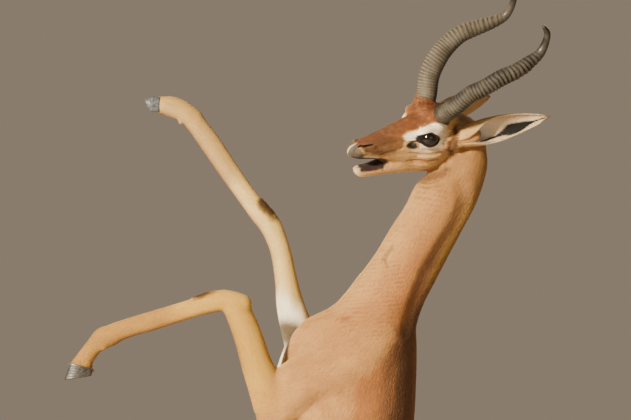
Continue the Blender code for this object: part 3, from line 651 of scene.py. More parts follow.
# ------------------------------------------------------------------ the skin's body
def build_flesh():
    bm = bmesh.new()
    add_body(bm)
    add_left_foreleg(bm)
    add_right_foreleg(bm)
    add_hind_leg(bm, 1.0, HIND_SHIFT[1.0])
    add_hind_leg(bm, -1.0, HIND_SHIFT[-1.0])
    add_tail(bm)
    add_head(bm)
    for name in EARS:
        base, axis, _open, _edge = ear_frame(name)
        add_ear_foot(bm, base, axis)
    bmesh.ops.recalc_face_normals(bm, faces=bm.faces)
    mesh = bpy.data.meshes.new("skin")
    bm.to_mesh(mesh)
    bm.free()
    ob = bpy.data.objects.new("skin", mesh)
    bpy.context.scene.collection.objects.link(ob)
    m = ob.modifiers.new("fuse", 'REMESH')
    m.mode = 'VOXEL'
    m.voxel_size = VOXEL
    m = ob.modifiers.new("soften", 'SMOOTH')
    m.factor = 0.5
    m.iterations = SMOOTH_STEPS
    bake_in_place(ob)
    return ob


# limbs as chains of sweeps, in the order build_flesh makes them
def limb_tracks():
    def chain(*ks):
        pts, rad = [TRACKS[ks[0]]], [WIDTHS[ks[0]]]
        for k in ks[1:]:
            pts[-1], rad[-1] = pts[-1][:-1], rad[-1][:-1]
            pts.append(TRACKS[k][1:])
            rad.append(WIDTHS[k][1:])
        return np.vstack(pts), np.concatenate(rad)
    return {"trunk": (TRACKS[0], WIDTHS[0]), "left_fore": chain(2, 3, 4, 5),
            "right_fore": chain(6, 7, 8), "left_hind": chain(9, 10),
            "right_hind": chain(11, 12), "tail": (TRACKS[13], WIDTHS[13]),
            "head": (TRACKS[14], WIDTHS[14])}


REGIONS = ("trunk", "left_fore", "right_fore", "left_hind", "right_hind", "tail", "head")


def along(p, pts, rad):
    """Arc length, distance over radius, way of the line, foot of the perpendicular, radius."""
    reach = 2.3 * rad.max() + 0.02
    here = np.nonzero(((p > pts.min(0) - reach) & (p < pts.max(0) + reach)).all(1))[0]
    out = (np.zeros(len(p)), np.full(len(p), 9.0), np.tile((0.0, 0.0, 1.0), (len(p), 1)),
           p.copy(), np.ones(len(p)))
    if not len(here):
        return out
    q = p[here]
    seg = np.diff(pts, axis=0)
    length = np.sqrt((seg ** 2).sum(1))
    start = np.concatenate(([0], np.cumsum(length)))
    way = seg / length[:, None]
    node = unit(np.vstack((way[:1], way[1:] + way[:-1], way[-1:])))
    best = np.full(len(q), 1e9)
    which = np.zeros(len(q), int)
    share = np.zeros(len(q))
    for k in range(len(seg)):
        t = (q - pts[k]) @ (seg[k] / length[k] ** 2)
        tc = np.clip(t, 0, 1)
        g = q - pts[k] - tc[:, None] * seg[k]
        gap = np.sqrt((g * g).sum(1)) / (rad[k] + (rad[k + 1] - rad[k]) * tc)
        m = gap < best
        best[m] = gap[m]
        which[m] = k
        lo = -9.0 if k == 0 else 0.0
        hi = 9.0 if k == len(seg) - 1 else 1.0
        share[m] = np.clip(t[m], lo, hi)
    tc = np.clip(share, 0, 1)
    out[0][here] = start[which] + share * length[which]
    out[1][here] = best
    out[2][here] = unit(node[which] + tc[:, None] * (node[which + 1] - node[which]))
    out[3][here] = pts[which] + share[:, None] * seg[which]
    out[4][here] = rad[which] + (rad[which + 1] - rad[which]) * tc
    return out


def survey(p):
    """Region of every point, its place along and round the region, and the lie of the coat."""
    tracks = limb_tracks()
    dist = np.zeros((len(REGIONS), len(p)))
    data = []
    for k, name in enumerate(REGIONS):
        out = along(p, *tracks[name])
        dist[k] = out[1]
        data.append(out)
    label = dist.argmin(0)
    weight = np.exp(-5.0 * (dist - dist.min(0)))
    weight /= weight.sum(0)
    flow = sum(weight[k][:, None] * data[k][2] for k in range(len(REGIONS)))
    s = np.choose(label, [d[0] for d in data])
    foot = np.zeros_like(p)
    way = np.zeros_like(p)
    radius = np.zeros(len(p))
    for k in range(len(REGIONS)):
        m = label == k
        foot[m], way[m], radius[m] = data[k][3][m], data[k][2][m], data[k][4][m]
    ref = np.where((label == REGIONS.index("head"))[:, None], HEAD_LEFT, np.array((1.0, 0, 0)))
    across = unit(ref - way * (ref * way).sum(1)[:, None])
    over = np.cross(way, across)
    rel = p - foot
    angle = np.arctan2((rel * across).sum(1), (rel * over).sum(1))
    return dict(label=label, s=s, flow=unit(flow), angle=angle, radius=radius, near=dist.min(0),
                over=over)


def grid_of(p):
    """Grid column and row of points."""
    return p[:, 1] / GRID + GRID_MID, GRID_FLOOR - (p[:, 2] - BASE_HEIGHT) / GRID


def mirrored(h):
    """Head points folded onto the left half, and their grid column and row there."""
    m = h.copy()
    m[:, 0] = np.abs(m[:, 0])
    p = HEAD_ORIGIN + m @ HEAD_AXES
    u, v = grid_of(p)
    return m, np.stack((u, v), 1)


# ------------------------------------------------------------------ eyes
EYE_AT = {s: head(s * EYE_SIDE, -0.0015, -0.0005) for s in (1, -1)}
EYE_WAY = {s: head_way(s * 0.90, 0.33, 0.16) for s in (1, -1)}


def eye_axes(s):
    w = EYE_WAY[s]
    fore = HEAD_FORE - w * HEAD_FORE.dot(w)
    fore /= np.linalg.norm(fore)
    up = HEAD_UP - w * HEAD_UP.dot(w) - fore * HEAD_UP.dot(fore)
    up /= np.linalg.norm(up)
    return w, fore, up


LID_LONG, LID_HIGH = 0.945, 0.635          # half opening over the eye's radius


def lid_coordinate(d, s):
    """0 in the middle of the lid opening, 1 on its margin; also the fore and up shares."""
    w, fore, up = eye_axes(s)
    a, b, c = d @ fore, d @ up, d @ w
    turn = math.radians(-4)
    a, b = a * math.cos(turn) + b * math.sin(turn), -a * math.sin(turn) + b * math.cos(turn)
    long = np.where(a > 0, LID_LONG * 1.03, LID_LONG * 0.98)
    high = np.where(b > 0, LID_HIGH * 1.02, LID_HIGH * 0.97)
    e = 1.55
    q = ((np.abs(a) / long) ** e + (np.abs(b) / high) ** e) ** (1 / e)
    q = np.where(c < 0.0, 3.0 + np.abs(c), q)
    return q, a, b, c


# ------------------------------------------------------------------ local refinement
def split_near(ob, centres, radius):
    """Halves the edges of all faces within reach of the given points."""
    bm = bmesh.new()
    bm.from_mesh(ob.data)
    co = coords(ob.data)
    near = np.zeros(len(co), bool)
    for c, r in zip(centres, radius):
        near |= np.linalg.norm(co - c, axis=1) < r
    bm.verts.ensure_lookup_table()
    edges = [e for e in bm.edges if near[e.verts[0].index] and near[e.verts[1].index]]
    bmesh.ops.subdivide_edges(bm, edges=edges, cuts=1, use_grid_fill=True)
    bm.to_mesh(ob.data)
    bm.free()
    ob.data.update()


def neighbours(mesh):
    e = np.empty(len(mesh.edges) * 2, np.int32)
    mesh.edges.foreach_get("vertices", e)
    return e.reshape(-1, 2)


def relax(mesh, p, weight, steps=3, amount=0.5):
    """Laplacian smoothing of vertices by weight."""
    e = neighbours(mesh)
    e = e[(weight[e[:, 0]] > 0) | (weight[e[:, 1]] > 0)]
    used, e = np.unique(e, return_inverse=True)
    e = e.reshape(-1, 2)
    q, w = p[used].copy(), (weight[used] * amount)[:, None]
    m = len(used)
    count = np.maximum(np.bincount(e.ravel(), minlength=m), 1).astype(float)[:, None]
    a, b = e[:, 0], e[:, 1]
    for _ in range(steps):
        total = np.stack([np.bincount(a, q[b, k], m) + np.bincount(b, q[a, k], m) for k in range(3)], 1)
        q += (total / count - q) * w
    p = p.copy()
    p[used] = q
    return p


# ------------------------------------------------------------------ sculpting
HORN_ROOT = (0.0353, -0.0140, 0.0570)
HORN_WAY = (0.0147, -0.0083, 0.0243)
COR_LEFT = (side(81, 366, 0.0165), px(-4.5, 16))
COR_RIGHT = (side(157.5, 103.4, -0.063), px(-17.5, -1))
COR_HIND = {s: (side(351 + du, 1049.5, s * 0.085), px(-7, 24)) for s, du in HIND_SHIFT.items()}

from mathutils.bvhtree import BVHTree


class Finder:
    """Finds the place on the left side of a surface over a grid place."""

    def __init__(self, mesh, low=-1.0):
        co = coords(mesh)
        n = len(mesh.polygons)
        start = np.empty(n, np.int32)
        total = np.empty(n, np.int32)
        mesh.polygons.foreach_get("loop_start", start)
        mesh.polygons.foreach_get("loop_total", total)
        li = np.empty(len(mesh.loops), np.int32)
        mesh.loops.foreach_get("vertex_index", li)
        keep = np.nonzero((co[li[start], 2] > low) & (total == 4))[0]
        faces = li[start[keep][:, None] + np.arange(4)]
        used, inv = np.unique(faces.ravel(), return_inverse=True)
        self.tree = BVHTree.FromPolygons(co[used].tolist(), inv.reshape(-1, 4).tolist())

    def __call__(self, u, v):
        o = side(u, v, 1.0)
        hit = self.tree.ray_cast(Vector(o), Vector((-1, 0, 0)))[0]
        if hit is None:
            hit = self.tree.find_nearest(Vector(side(u, v, 0.06)))[0]
        return np.array(hit)


def face_line(find, pts):
    """Grid places on the head to folded head coordinates."""
    out = []
    for u, v in pts:
        h = to_head(find(u, v)[None])[0]
        h[0] = abs(h[0])
        out.append(h)
    return out


def line_of(find, pts):
    return [find(u, v) for u, v in pts]


def groove(p, pts, width, height):
    """Rounded ridge or groove along a chain of points."""
    d = stroke(p, pts, [0.0] * len(pts))
    return height * bump(d, width)


NOSTRIL = ((358.0, 147.6), (360.6, 146.4), (363.5, 147.2), (367.5, 146.3), (372.2, 145.6))
GLAND = (410.8, 146.2)


def sculpt_head(p, n, find, info):
    """Displacement along the normals over the head."""
    h = to_head(p)
    m, uv = mirrored(h)
    d = np.zeros(len(p))
    on = (info["label"] == REGIONS.index("head")) | (h[:, 1] > -0.115) & (np.abs(h[:, 0]) < 0.09) \
        & (np.abs(h[:, 2]) < 0.13)
    idx = np.nonzero(on)[0]
    q = m[idx]
    out = np.zeros(len(idx))
    outer = smooth(q[:, 0], 0.004, 0.010)
    # gland pit before the eye
    g = face_line(find, [GLAND])[0]
    r = np.linalg.norm((q - g) * (0.8, 0.8, 1.25), axis=1)
    out += -0.0020 * bump(r, 0.0085) + 0.0007 * bump(r - 0.0100, 0.0035)
    out += groove(q, face_line(find, ((412.5, 142.6), (421.0, 141.2))), 0.0028, -0.0009)
    # nostril
    line = face_line(find, NOSTRIL)
    dn = stroke(q, line, (0.0006, 0.0012, 0.0014, 0.0011, 0.0004))
    out += -0.0058 * (1 - smooth(dn, -0.0006, 0.0015)) * outer
    up = [x + np.array((0.0, 0.0, 0.0034)) for x in line]
    low = [x + np.array((0.001, 0.0, -0.0045)) for x in line]
    out += groove(q, up, 0.0034, 0.0009) + groove(q, low, 0.0050, 0.0008)
    # folds of the cheek, below the eye and at the corner of the mouth
    for pts, w, height in (
            (((418.7, 156.6), (426, 157.6), (433.1, 157.2), (440.5, 154.5)), 0.0044, 0.0013),
            (((407, 160.6), (414, 160.6), (420, 160.4), (427.5, 161.6), (435, 159.8)), 0.0036, -0.0015),
            (((409, 153.0), (418, 154.0), (428, 154.8), (438, 152.6)), 0.0030, -0.0009),
            (((400, 163.5), (412, 164.5), (424, 165.4), (436, 164.2)), 0.0060, 0.0010),
            (((454.6, 129), (453, 137), (449.8, 143.3), (447.6, 150), (448.4, 160.5), (446.4, 168)),
             0.0085, -0.0034),
            (((455, 144), (461, 147.5), (468, 150)), 0.0070, -0.0024),
            (((380, 161.2), (383.6, 164.4), (382.6, 170)), 0.0028, -0.0013),
            (((384, 160.4), (387.5, 165.4), (386, 171)), 0.0030, 0.0009),
            (((387.5, 162.0), (390, 166.5)), 0.0022, -0.0007),
            (((436, 150.8), (424, 151.8), (410, 151.6), (398, 150.2)), 0.0060, 0.0009),
            (((400, 149), (391, 152), (383, 154)), 0.0050, -0.0010),
            (((396, 143), (386, 145), (377, 148)), 0.0060, -0.0008),
            (((425, 163.5), (434, 166.5), (442, 164.0)), 0.0050, 0.0012),
            (((362, 157.0), (370, 157.6), (377, 158.4)), 0.0026, 0.0007)):
        out += groove(q, face_line(find, pts), w, height)
    # groove between nose and lip in the middle, brow bones, temple
    out += groove(q, [np.array((0, 0.141, -0.060)), np.array((0, 0.139, -0.046))], 0.0022, -0.0010)
    out += groove(q, [np.array((0.026, 0.012, 0.0300)), np.array((0.034, -0.004, 0.0330)),
                      np.array((0.036, -0.020, 0.0270))], 0.0090, 0.0016)
    out += groove(q, [np.array((0.036, -0.030, 0.0080)), np.array((0.036, -0.050, 0.0120))],
                  0.0130, -0.0020)
    out += groove(q, [np.array((0.0, 0.050, 0.012)), np.array((0.0, 0.010, 0.040))], 0.0120, 0.0012)
    out += 0.0003 * fractal(p[idx], 0.010, 3, 5)
    d[idx] = out
    return d


def set_lids(p, s, inner=None):
    """Moves the skin round one eye so that it rests on the eyeball as lids."""
    c = EYE_AT[s]
    rel = p - c
    r = np.linalg.norm(rel, axis=1)
    near = np.nonzero(r < 0.040)[0]
    d = rel[near] / r[near][:, None]
    q, a, b, w = lid_coordinate(d, s)
    R = EYE_RADIUS
    rn = r[near]
    # skin never sinks into the eye outside the opening
    cover = R + 0.0017
    soft = np.log(np.exp((rn - cover) / 0.0012) + 1) * 0.0012 + cover
    keep = np.where(w > -0.2, soft, rn)
    # rim of the lid, a crease behind it, wrinkles of the upper lid
    rim = 0.0011 * bump(q - 1.06, 0.16)
    crease = -0.0013 * bump(q - 1.34, 0.13)
    above = smooth(b, 0.05, 0.35) * smooth(w, 0.05, 0.25)
    below = smooth(-b, 0.05, 0.30) * smooth(w, 0.1, 0.3)
    folds = 0.00055 * np.cos((q - 1.50) * 2 * math.pi / 0.20) * smooth(q, 1.38, 1.50) * (1 - smooth(q, 1.95, 2.25))
    target = keep + rim + crease * (0.35 + 0.65 * np.maximum(above, below * 0.7)) \
        + folds * (above + 0.45 * below)
    inside = R - 0.0042
    t = smooth(q, 0.925, 1.015)
    rnew = inside + (target - inside) * t
    rnew = np.where(w > -0.05, rnew, rn)
    fade = 1 - smooth(rn, 0.034, 0.040)
    p[near] = c + d * (rn + (rnew - rn) * fade)[:, None]
    return p


def sculpt_body(p, n, find, info):
    """Displacement along the normals over neck, trunk and limbs."""
    u, v = grid_of(p)
    lab = info["label"]
    trunk = lab == REGIONS.index("trunk")
    d = np.zeros(len(p))
    fold = p.copy()
    fold[:, 0] = np.abs(p[:, 0])
    area = np.nonzero((v < 470) & (v > 120) & (trunk | (u > 250)))[0]
    q, w = p[area], fold[area]
    neck = smooth(-v[area], -345, -300)
    o = np.zeros(len(area))
    # groove between the neck's side and its upper muscle; throat and windpipe
    o += groove(w, line_of(find, ((462, 186), (464, 205), (455, 228), (440, 250), (426, 274),
                                  (415, 300), (406, 328))), 0.024, -0.0050)
    o += groove(w, line_of(find, ((411, 200), (396, 222), (380, 246), (364, 270), (352, 290))),
                0.016, -0.0022)
    o += groove(w, line_of(find, ((440, 182), (452, 176), (462, 160))), 0.020, -0.0022)
    o += groove(w, line_of(find, ((432, 190), (440, 206), (430, 232), (412, 258))), 0.030, 0.0022)
    # folds under the jaw and the crease low on the throat
    for pts, ww, hh in ((((421.5, 182.6), (426.5, 184), (431.2, 183.6), (437, 180.8)), 0.0040, -0.0016),
                        (((419.0, 186.2), (427, 188.3), (435, 187.6), (443, 184)), 0.0042, -0.0011),
                        (((415, 191), (424, 193), (433, 192.6)), 0.0045, -0.0009),
                        (((412, 196), (420, 198.3), (430, 198.6)), 0.0050, -0.0008),
                        (((392, 245.7), (388, 252), (384.4, 260), (387.2, 266.7)), 0.0045, -0.0016),
                        (((396, 246), (391.5, 254)), 0.0050, 0.0010)):
        o += groove(q, line_of(find, pts), ww, hh)
    # rim of the far side of the chest
    o += groove(q, line_of(find, ((292.6, 344), (297, 335), (304.3, 325.5), (311, 320), (319.5, 316.4),
                                  (331.8, 312.6))), 0.0065, -0.0024)
    # fine folds running across the foot of the neck
    ua, va = u[area], v[area]
    band = smooth(-va, -350, -325) * smooth(va, 225, 268) * smooth(ua, 318, 345)
    wave = np.sin((va + 0.10 * ua + 2.6 * fractal(q, 0.030, 3, 3)) * 2 * math.pi / 4.2)
    o += 0.00042 * band * wave * (0.6 + 0.8 * hash_noise(q, 0.018, 9))
    band = smooth(-va, -262, -240) * smooth(va, 176, 190) * (1 - smooth(ua, 440, 465))
    wave = np.sin((va - 0.12 * ua + 2.2 * fractal(q, 0.026, 3, 13)) * 2 * math.pi / 5.0)
    o += 0.00034 * band * wave * (0.5 + 0.9 * hash_noise(q, 0.020, 19))
    # shoulder blade and the muscles over it
    o += groove(w, line_of(find, ((388, 338), (364, 356), (335, 378), (306, 396))), 0.030, 0.0014)
    o += groove(w, line_of(find, ((400, 352), (380, 386), (345, 412))), 0.026, -0.0008)
    o += groove(w, line_of(find, ((352, 322), (326, 338), (303, 358))), 0.022, -0.0008)
    d[area] = o
    # ribs, flank and the hollow before the thigh
    side_on = smooth(np.abs(info["angle"]), 0.5, 0.9) * (1 - smooth(np.abs(info["angle"]), 2.2, 2.7))
    rib = smooth(v, 400, 450) * (1 - smooth(v, 545, 580)) * trunk * side_on
    d += 0.0007 * rib * np.sin((v + 0.35 * u) * 2 * math.pi / 17.0)
    flank = bump(v - 592, 42) * trunk * side_on
    d -= 0.0050 * flank
    # tendons of the lower legs
    for tag, seg, s0, s1, back in (("left_fore", 1, 0.215, 0.425, 1), ("right_fore", 1, 0.20, 0.40, 1),
                                   ("left_hind", 1, 0.50, 0.74, 1), ("right_hind", 1, 0.50, 0.74, 1)):
        k = REGIONS.index(tag)
        m = lab == k
        ang = np.abs(np.abs(info["angle"]) - 2.15)
        zone = smooth(info["s"], s0, s0 + 0.03) * (1 - smooth(info["s"], s1 - 0.03, s1))
        d[m] -= (0.0018 * bump(ang, 0.42) * zone)[m]
    d += 0.0005 * fractal(p, 0.035, 2, 31)
    return d


def press(p, point, way, radius, sink=0.0004):
    """Presses what lies beyond a plane back onto it."""
    rel = p - point
    out = rel @ way
    flat = np.linalg.norm(rel - out[:, None] * way, axis=1)
    m = (out > -sink) & (flat < radius) & (out < 0.06)
    p[m] -= ((out[m] + sink))[:, None] * way
    return p


PEDICLE_DROP = 0.0105        # the sheath of a horn reaches this far down its bony foot


def coat_depth(p, info):
    """How far the skin lies inside the outline."""
    h = to_head(p)
    lab = info["label"]
    depth = np.full(len(p), 0.0026)
    hd = REGIONS.index("head")
    depth[lab == hd] = 0.0016
    face = smooth(h[:, 1], 0.00, 0.06) * (lab == hd)
    depth -= 0.0006 * face
    for tag in ("left_fore", "right_fore"):
        m = lab == REGIONS.index(tag)
        depth[m] = (0.0024 - 0.0010 * smooth(info["s"], 0.18, 0.30))[m]
    for tag in ("left_hind", "right_hind"):
        m = lab == REGIONS.index(tag)
        depth[m] = (0.0026 - 0.0011 * smooth(info["s"], 0.42, 0.60))[m]
    depth[lab == REGIONS.index("tail")] = 0.0040
    return depth


SKIN_TRIANGLES = 176000


def make_skin():
    ob = build_flesh()
    mesh = ob.data
    p = coords(mesh)
    info = survey(p)
    # the upper arms flow into the chest; the brisket fills out below the near elbow
    u, v = grid_of(p)
    fill = np.exp(-((u - 322) / 40) ** 2 - ((v - 424) / 34) ** 2) * smooth(u, 286, 304) * smooth(p[:, 0], 0.030, 0.060)
    p[:, 0] += fill * np.clip(0.108 - p[:, 0], 0, 0.035) * 0.9
    arm = np.zeros(len(p))
    s, dist, _w, _f, r = along(p, TRACKS[2], WIDTHS[2])
    arm = (1 - smooth(dist, 1.9, 2.8)) * (1 - smooth(s, 0.125, 0.165)) * smooth(p[:, 0], 0.040, 0.065) \
        * smooth(u, 284, 300)
    p = relax(mesh, p, arm, steps=220, amount=0.6)
    arm = np.zeros(len(p))
    for k in (2, 6):
        s, dist, _w, _f, r = along(p, TRACKS[k], WIDTHS[k])
        arm = np.maximum(arm, (1 - smooth(dist, 1.5, 2.1)) * (1 - smooth(s, 0.125, 0.175)))
    for k in (9, 11):
        s, dist, _w, _f, r = along(p, TRACKS[k], WIDTHS[k])
        arm = np.maximum(arm, (1 - smooth(dist, 1.4, 2.0)) * (1 - smooth(s, 0.16, 0.24)))
    p = relax(mesh, p, arm, steps=45, amount=0.5)
    set_coords(mesh, p)
    n = vertex_normals(mesh)
    # thin limbs get back what the softening took
    lost = 1.25e-5 / np.clip(info["radius"], 0.0105, 1.0)
    lost = lost * (info["near"] < 1.5) * (1 - 0.6 * (info["label"] == REGIONS.index("head")))
    p = p - n * (coat_depth(p, info) - 0.0009 - lost)[:, None]
    set_coords(mesh, p)
    # finer mesh on the face and still finer round the eyes and nose
    eyes = [EYE_AT[s] for s in (1, -1)]
    muzzle = [head(0, y, -0.045) for y in (0.070, 0.100, 0.130)]
    cheeks = [head(s * 0.03, y, -0.025) for s in (1, -1) for y in (0.02, -0.03)]
    split_near(ob, eyes + muzzle + cheeks, [0.048] * 2 + [0.044] * 3 + [0.034] * 4)
    split_near(ob, eyes + [head(s * 0.014, 0.118, -0.034) for s in (1, -1)], [0.0275] * 2 + [0.019] * 2)
    mesh = ob.data
    p = coords(mesh)
    h = to_head(p)
    fine = np.linalg.norm(h - (0, 0.02, -0.02), axis=1) < 0.2
    p = relax(mesh, p, fine.astype(float), steps=2, amount=0.4)
    set_coords(mesh, p)
    find = Finder(mesh, 1.2)
    info = survey(p)
    n = vertex_normals(mesh)
    p = p + n * (sculpt_head(p, n, find, info) + sculpt_body(p, n, find, info))[:, None]
    for s in (1, -1):
        p = set_lids(p, s)
        w = head_way(s * HORN_WAY[0], HORN_WAY[1], HORN_WAY[2])
        p = press(p, head(s * HORN_ROOT[0], HORN_ROOT[1], HORN_ROOT[2]) - w * PEDICLE_DROP, w, 0.031)
    for point, way in (COR_LEFT, COR_RIGHT, *COR_HIND.values()):
        p = press(p, point, way, 0.028)
    set_coords(mesh, p)
    # fewer faces where the form is plain
    keep = ob.vertex_groups.new(name="plain")
    h = to_head(p)
    plain = np.nonzero(np.linalg.norm(h - (0, 0.01, -0.015), axis=1) > 0.150)[0]
    keep.add(plain.tolist(), 1.0, 'REPLACE')
    tris = 2 * len(mesh.polygons)
    m = ob.modifiers.new("fewer", 'DECIMATE')
    m.ratio = min(1.0, SKIN_TRIANGLES / tris)
    m.vertex_group = "plain"
    m.vertex_group_factor = 10.0
    bake_in_place(ob)
    bm = bmesh.new()
    bm.from_mesh(ob.data)
    bmesh.ops.triangulate(bm, faces=bm.faces)
    bm.to_mesh(ob.data)
    bm.free()
    ob.data.shade_smooth()
    print("skin", len(ob.data.polygons), "of", tris)
    return ob


# ------------------------------------------------------------------ colours of skin and coat
TAN = np.array((0.470, 0.262, 0.122))
SAND = np.array((0.550, 0.350, 0.160))
RED = np.array((0.380, 0.165, 0.066))
SADDLE = np.array((0.130, 0.070, 0.046))
CREAM = np.array((0.690, 0.505, 0.295))
WHITE = np.array((0.920, 0.825, 0.680))
RUST = np.array((0.190, 0.078, 0.037))
ORANGE = np.array((0.262, 0.134, 0.060))
CHEEK = np.array((0.570, 0.370, 0.190))
OCHRE = np.array((0.520, 0.330, 0.082))
BROWN = np.array((0.110, 0.052, 0.026))
BLACK = np.array((0.010, 0.008, 0.007))
SLATE = np.array((0.092, 0.090, 0.088))


def polygon(p, pts):
    """Signed distance to a closed outline, below zero inside."""
    pts = np.asarray(pts, float)
    d = np.full(len(p), 1e9)
    inside = np.zeros(len(p), bool)
    for k in range(len(pts)):
        a, b = pts[k], pts[(k + 1) % len(pts)]
        ab = b - a
        t = np.clip(((p - a) @ ab) / (ab @ ab), 0, 1)
        d = np.minimum(d, np.linalg.norm(p - a - t[:, None] * ab, axis=1))
        cross = ((a[1] > p[:, 1]) != (b[1] > p[:, 1]))
        x = a[0] + (p[:, 1] - a[1]) * ab[0] / (ab[1] if abs(ab[1]) > 1e-9 else 1e-9)
        inside ^= cross & (p[:, 0] < x)
    return np.where(inside, -d, d)


def over(rgb, mask, colour):
    return rgb + (colour - rgb) * np.clip(mask, 0, 1)[:, None]


RUST_EDGE = ((350, 138), (372, 116), (392, 96), (408, 80), (448, 80), (456, 98), (450, 116),
             (445.5, 122.5), (441, 122.7), (434, 121.6), (424, 125.4), (415.5, 130.0), (406.5, 132.2),
             (400.8, 136.2), (402.6, 141.5), (402.0, 147), (397, 152), (388, 155.8), (379, 156.5),
             (370, 154.8), (364, 152.2), (360, 149.6), (356, 147.5))
RING_EDGE = ((402.2, 137.3), (406.8, 133.7), (415.5, 131.6), (424.3, 126.9), (433.9, 123.5),
             (441.1, 124.4), (446.0, 129.0), (446.6, 134.5), (444.0, 139), (442.5, 143.5),
             (443.5, 147), (439, 150.8), (430, 153.0), (420, 153.4), (412, 152.0), (409, 149.8),
             (416.5, 149.2), (419, 145), (420.5, 142.4), (414.7, 140.6), (406, 142.2), (404.0, 140.5))


def paint_head(p, n, m, uv, rgb, far):
    """Face markings in folded head coordinates m and their grid places uv."""
    x, y, z = m.T
    up = n @ HEAD_UP
    soft = 0.9 * hash_noise(p, 0.0035, 3) + 0.6 * hash_noise(p, 0.0016, 4)
    # forehead, bridge and sides of the muzzle
    d = polygon(uv, RUST_EDGE) + 0.8 * soft
    low = smooth(uv[:, 1] - 0.30 * (420 - uv[:, 0]) * 0.6, 129, 143)
    rust = RUST + (ORANGE - RUST) * low[:, None]
    rust = rust + (RED - rust) * (0.45 * smooth(fractal(p, 0.014, 3, 7), -0.1, 0.5) * (1 - low))[:, None]
    lie = fractal(m * (1.0, 0.30, 1.0), 0.0060, 3, 71)[:, None]
    rust = rust * (1 + 0.22 * lie)
    rust = rust + (np.array((0.39, 0.215, 0.105)) - rust) * np.clip(0.55 * smooth(lie, 0.10, 0.75), 0, 1)
    rust = rust * (1 - (1 - smooth(uv[:, 0], 384, 412))[:, None] * (0.26, 0.19, 0.02))
    top = smooth(z, 0.000, 0.030) * smooth(y, -0.040, -0.020)
    edge = 1 - smooth(d, -1.8, 1.5)
    near_ring = smooth(uv[:, 0], 398, 404)
    edge = edge * (1 - near_ring) + (1 - smooth(d, -0.7, 0.6)) * near_ring
    rgb = rgb + (rust - rgb) * np.maximum(edge, top * 0.92 * (d < 3))[:, None]
    # darker hair round the horn roots; behind them on the nape, painted shade
    hr = np.linalg.norm(m - np.array(HORN_ROOT), axis=1)
    rgb = over(rgb, 0.65 * (1 - smooth(hr, 0.020, 0.030)) * (y > -0.03), BROWN * 1.6)
    nape_painted_shade = smooth(-y, 0.045, 0.070) * smooth(z, 0.020, 0.036)
    rgb = over(rgb, 0.85 * nape_painted_shade, np.array((0.100, 0.086, 0.076)))
    # lower jaw, chin, throat
    rgb = over(rgb, 0.75 * smooth(-up, 0.30, 0.75) * smooth(-z, 0.066, 0.085), CREAM)
    rgb = over(rgb, 0.40 * smooth(y, 0.075, 0.100) * smooth(-z, 0.078, 0.088), CREAM)
    # pale ring of the eye
    d = polygon(uv, RING_EDGE) + 0.55 * soft
    ring = (1 - smooth(d, -0.6, 0.8)) * smooth(x, 0.016, 0.022)
    ring = ring * (1 - far * smooth(z, 0.006, 0.016))
    white = WHITE * (1 + 0.0 * soft[:, None])
    below = smooth(uv[:, 1], 145, 151)[:, None]
    behind = smooth(uv[:, 0], 436, 446)[:, None]
    white = white + (CREAM - white) * np.maximum(0.75 * below, 0.85 * behind)
    # painted shade in the wrinkles of the upper ring
    creases = 0.5 + 0.5 * np.cos((np.linalg.norm((uv - (431, 142)) * (0.80, 1.0), axis=1)
                                  + 0.8 * soft) * 2 * math.pi / 2.1)
    shade = creases * smooth(uv[:, 0], 420, 427) * (1 - smooth(uv[:, 1], 132, 136)) \
        * smooth(uv[:, 1], 124.5, 127.5)
    white = white + (np.array((0.36, 0.29, 0.20)) - white) * (0.55 * shade)[:, None]
    rgb = rgb + (white - rgb) * ring[:, None]
    # cheek folds: pale lines painted as highlight along their ridges, darker lines painted as shade in their creases
    def line(pts, radii, colour, amount, blur=1.0):
        nonlocal rgb
        dd = stroke(uv, [np.array(q, float) for q in pts], radii) + 0.35 * soft
        rgb = over(rgb, amount * (1 - smooth(dd, -blur * 0.5, blur)) * smooth(x, 0.012, 0.018), colour)
    line(((416, 156.2), (424, 157.2), (433.5, 157.0), (440, 154.5)), (0.6, 1.3, 1.3, 0.5), CREAM * 1.05, 0.8, 1.4)
    line(((408, 160.2), (418, 160.2), (427.5, 161.8), (436, 160)), (0.4, 0.9, 0.9, 0.4), RED * 0.75, 0.75, 1.4)
    line(((398, 156.5), (408, 155.6), (418, 154.6)), (0.5, 0.9, 0.5), CREAM, 0.45, 1.6)
    line(((398, 164.8), (412, 165.6), (426, 166.6), (438, 165.6)), (0.6, 1.4, 1.6, 0.8), SAND, 0.55, 2.2)
    # dark lines behind the eye and along the back of the jaw: partly darker hair, partly painted shade in the groove
    # there
    line(((454.6, 127), (453, 137), (449.8, 143.3), (446.5, 150)), (2.4, 2.6, 2.4, 1.2), BROWN, 0.92, 2.6)
    line(((455.4, 142.5), (449.6, 151.3), (449.0, 160.8), (446.4, 168)), (1.2, 1.8, 1.7, 1.0), BROWN, 0.92, 2.2)
    line(((441.5, 143.5), (446, 143.8), (451, 142.5)), (0.8, 1.0, 1.0), BROWN * 1.8, 0.6, 1.6)
    # painted shadow under the ear, on the top of the neck
    line(((463, 151.5), (472, 149.5), (482, 146.5)), (1.4, 1.8, 1.2), BROWN * 1.2, 0.7, 2.4)
    # gland and the line that joins it to the eye
    g = (uv - GLAND) / (5.3, 3.4)
    dg = (np.linalg.norm(g, axis=1) - 1) * 3.6 + 0.5 * soft
    rgb = over(rgb, (1 - smooth(dg, -0.8, 0.9)) * smooth(x, 0.014, 0.019), BLACK * 2.2)
    gl = np.linalg.norm((uv - (412.0, 144.6)) / (2.3, 1.5), axis=1)
    rgb = over(rgb, 0.75 * (1 - smooth(gl, 0.5, 1.2)) * smooth(x, 0.014, 0.019), np.array((0.105, 0.115, 0.120)))
    line(((407.2, 142.6), (412, 142.0), (417, 141.4), (422, 140.8)), (0.5, 0.7, 0.8, 1.0), BLACK, 0.97, 0.7)
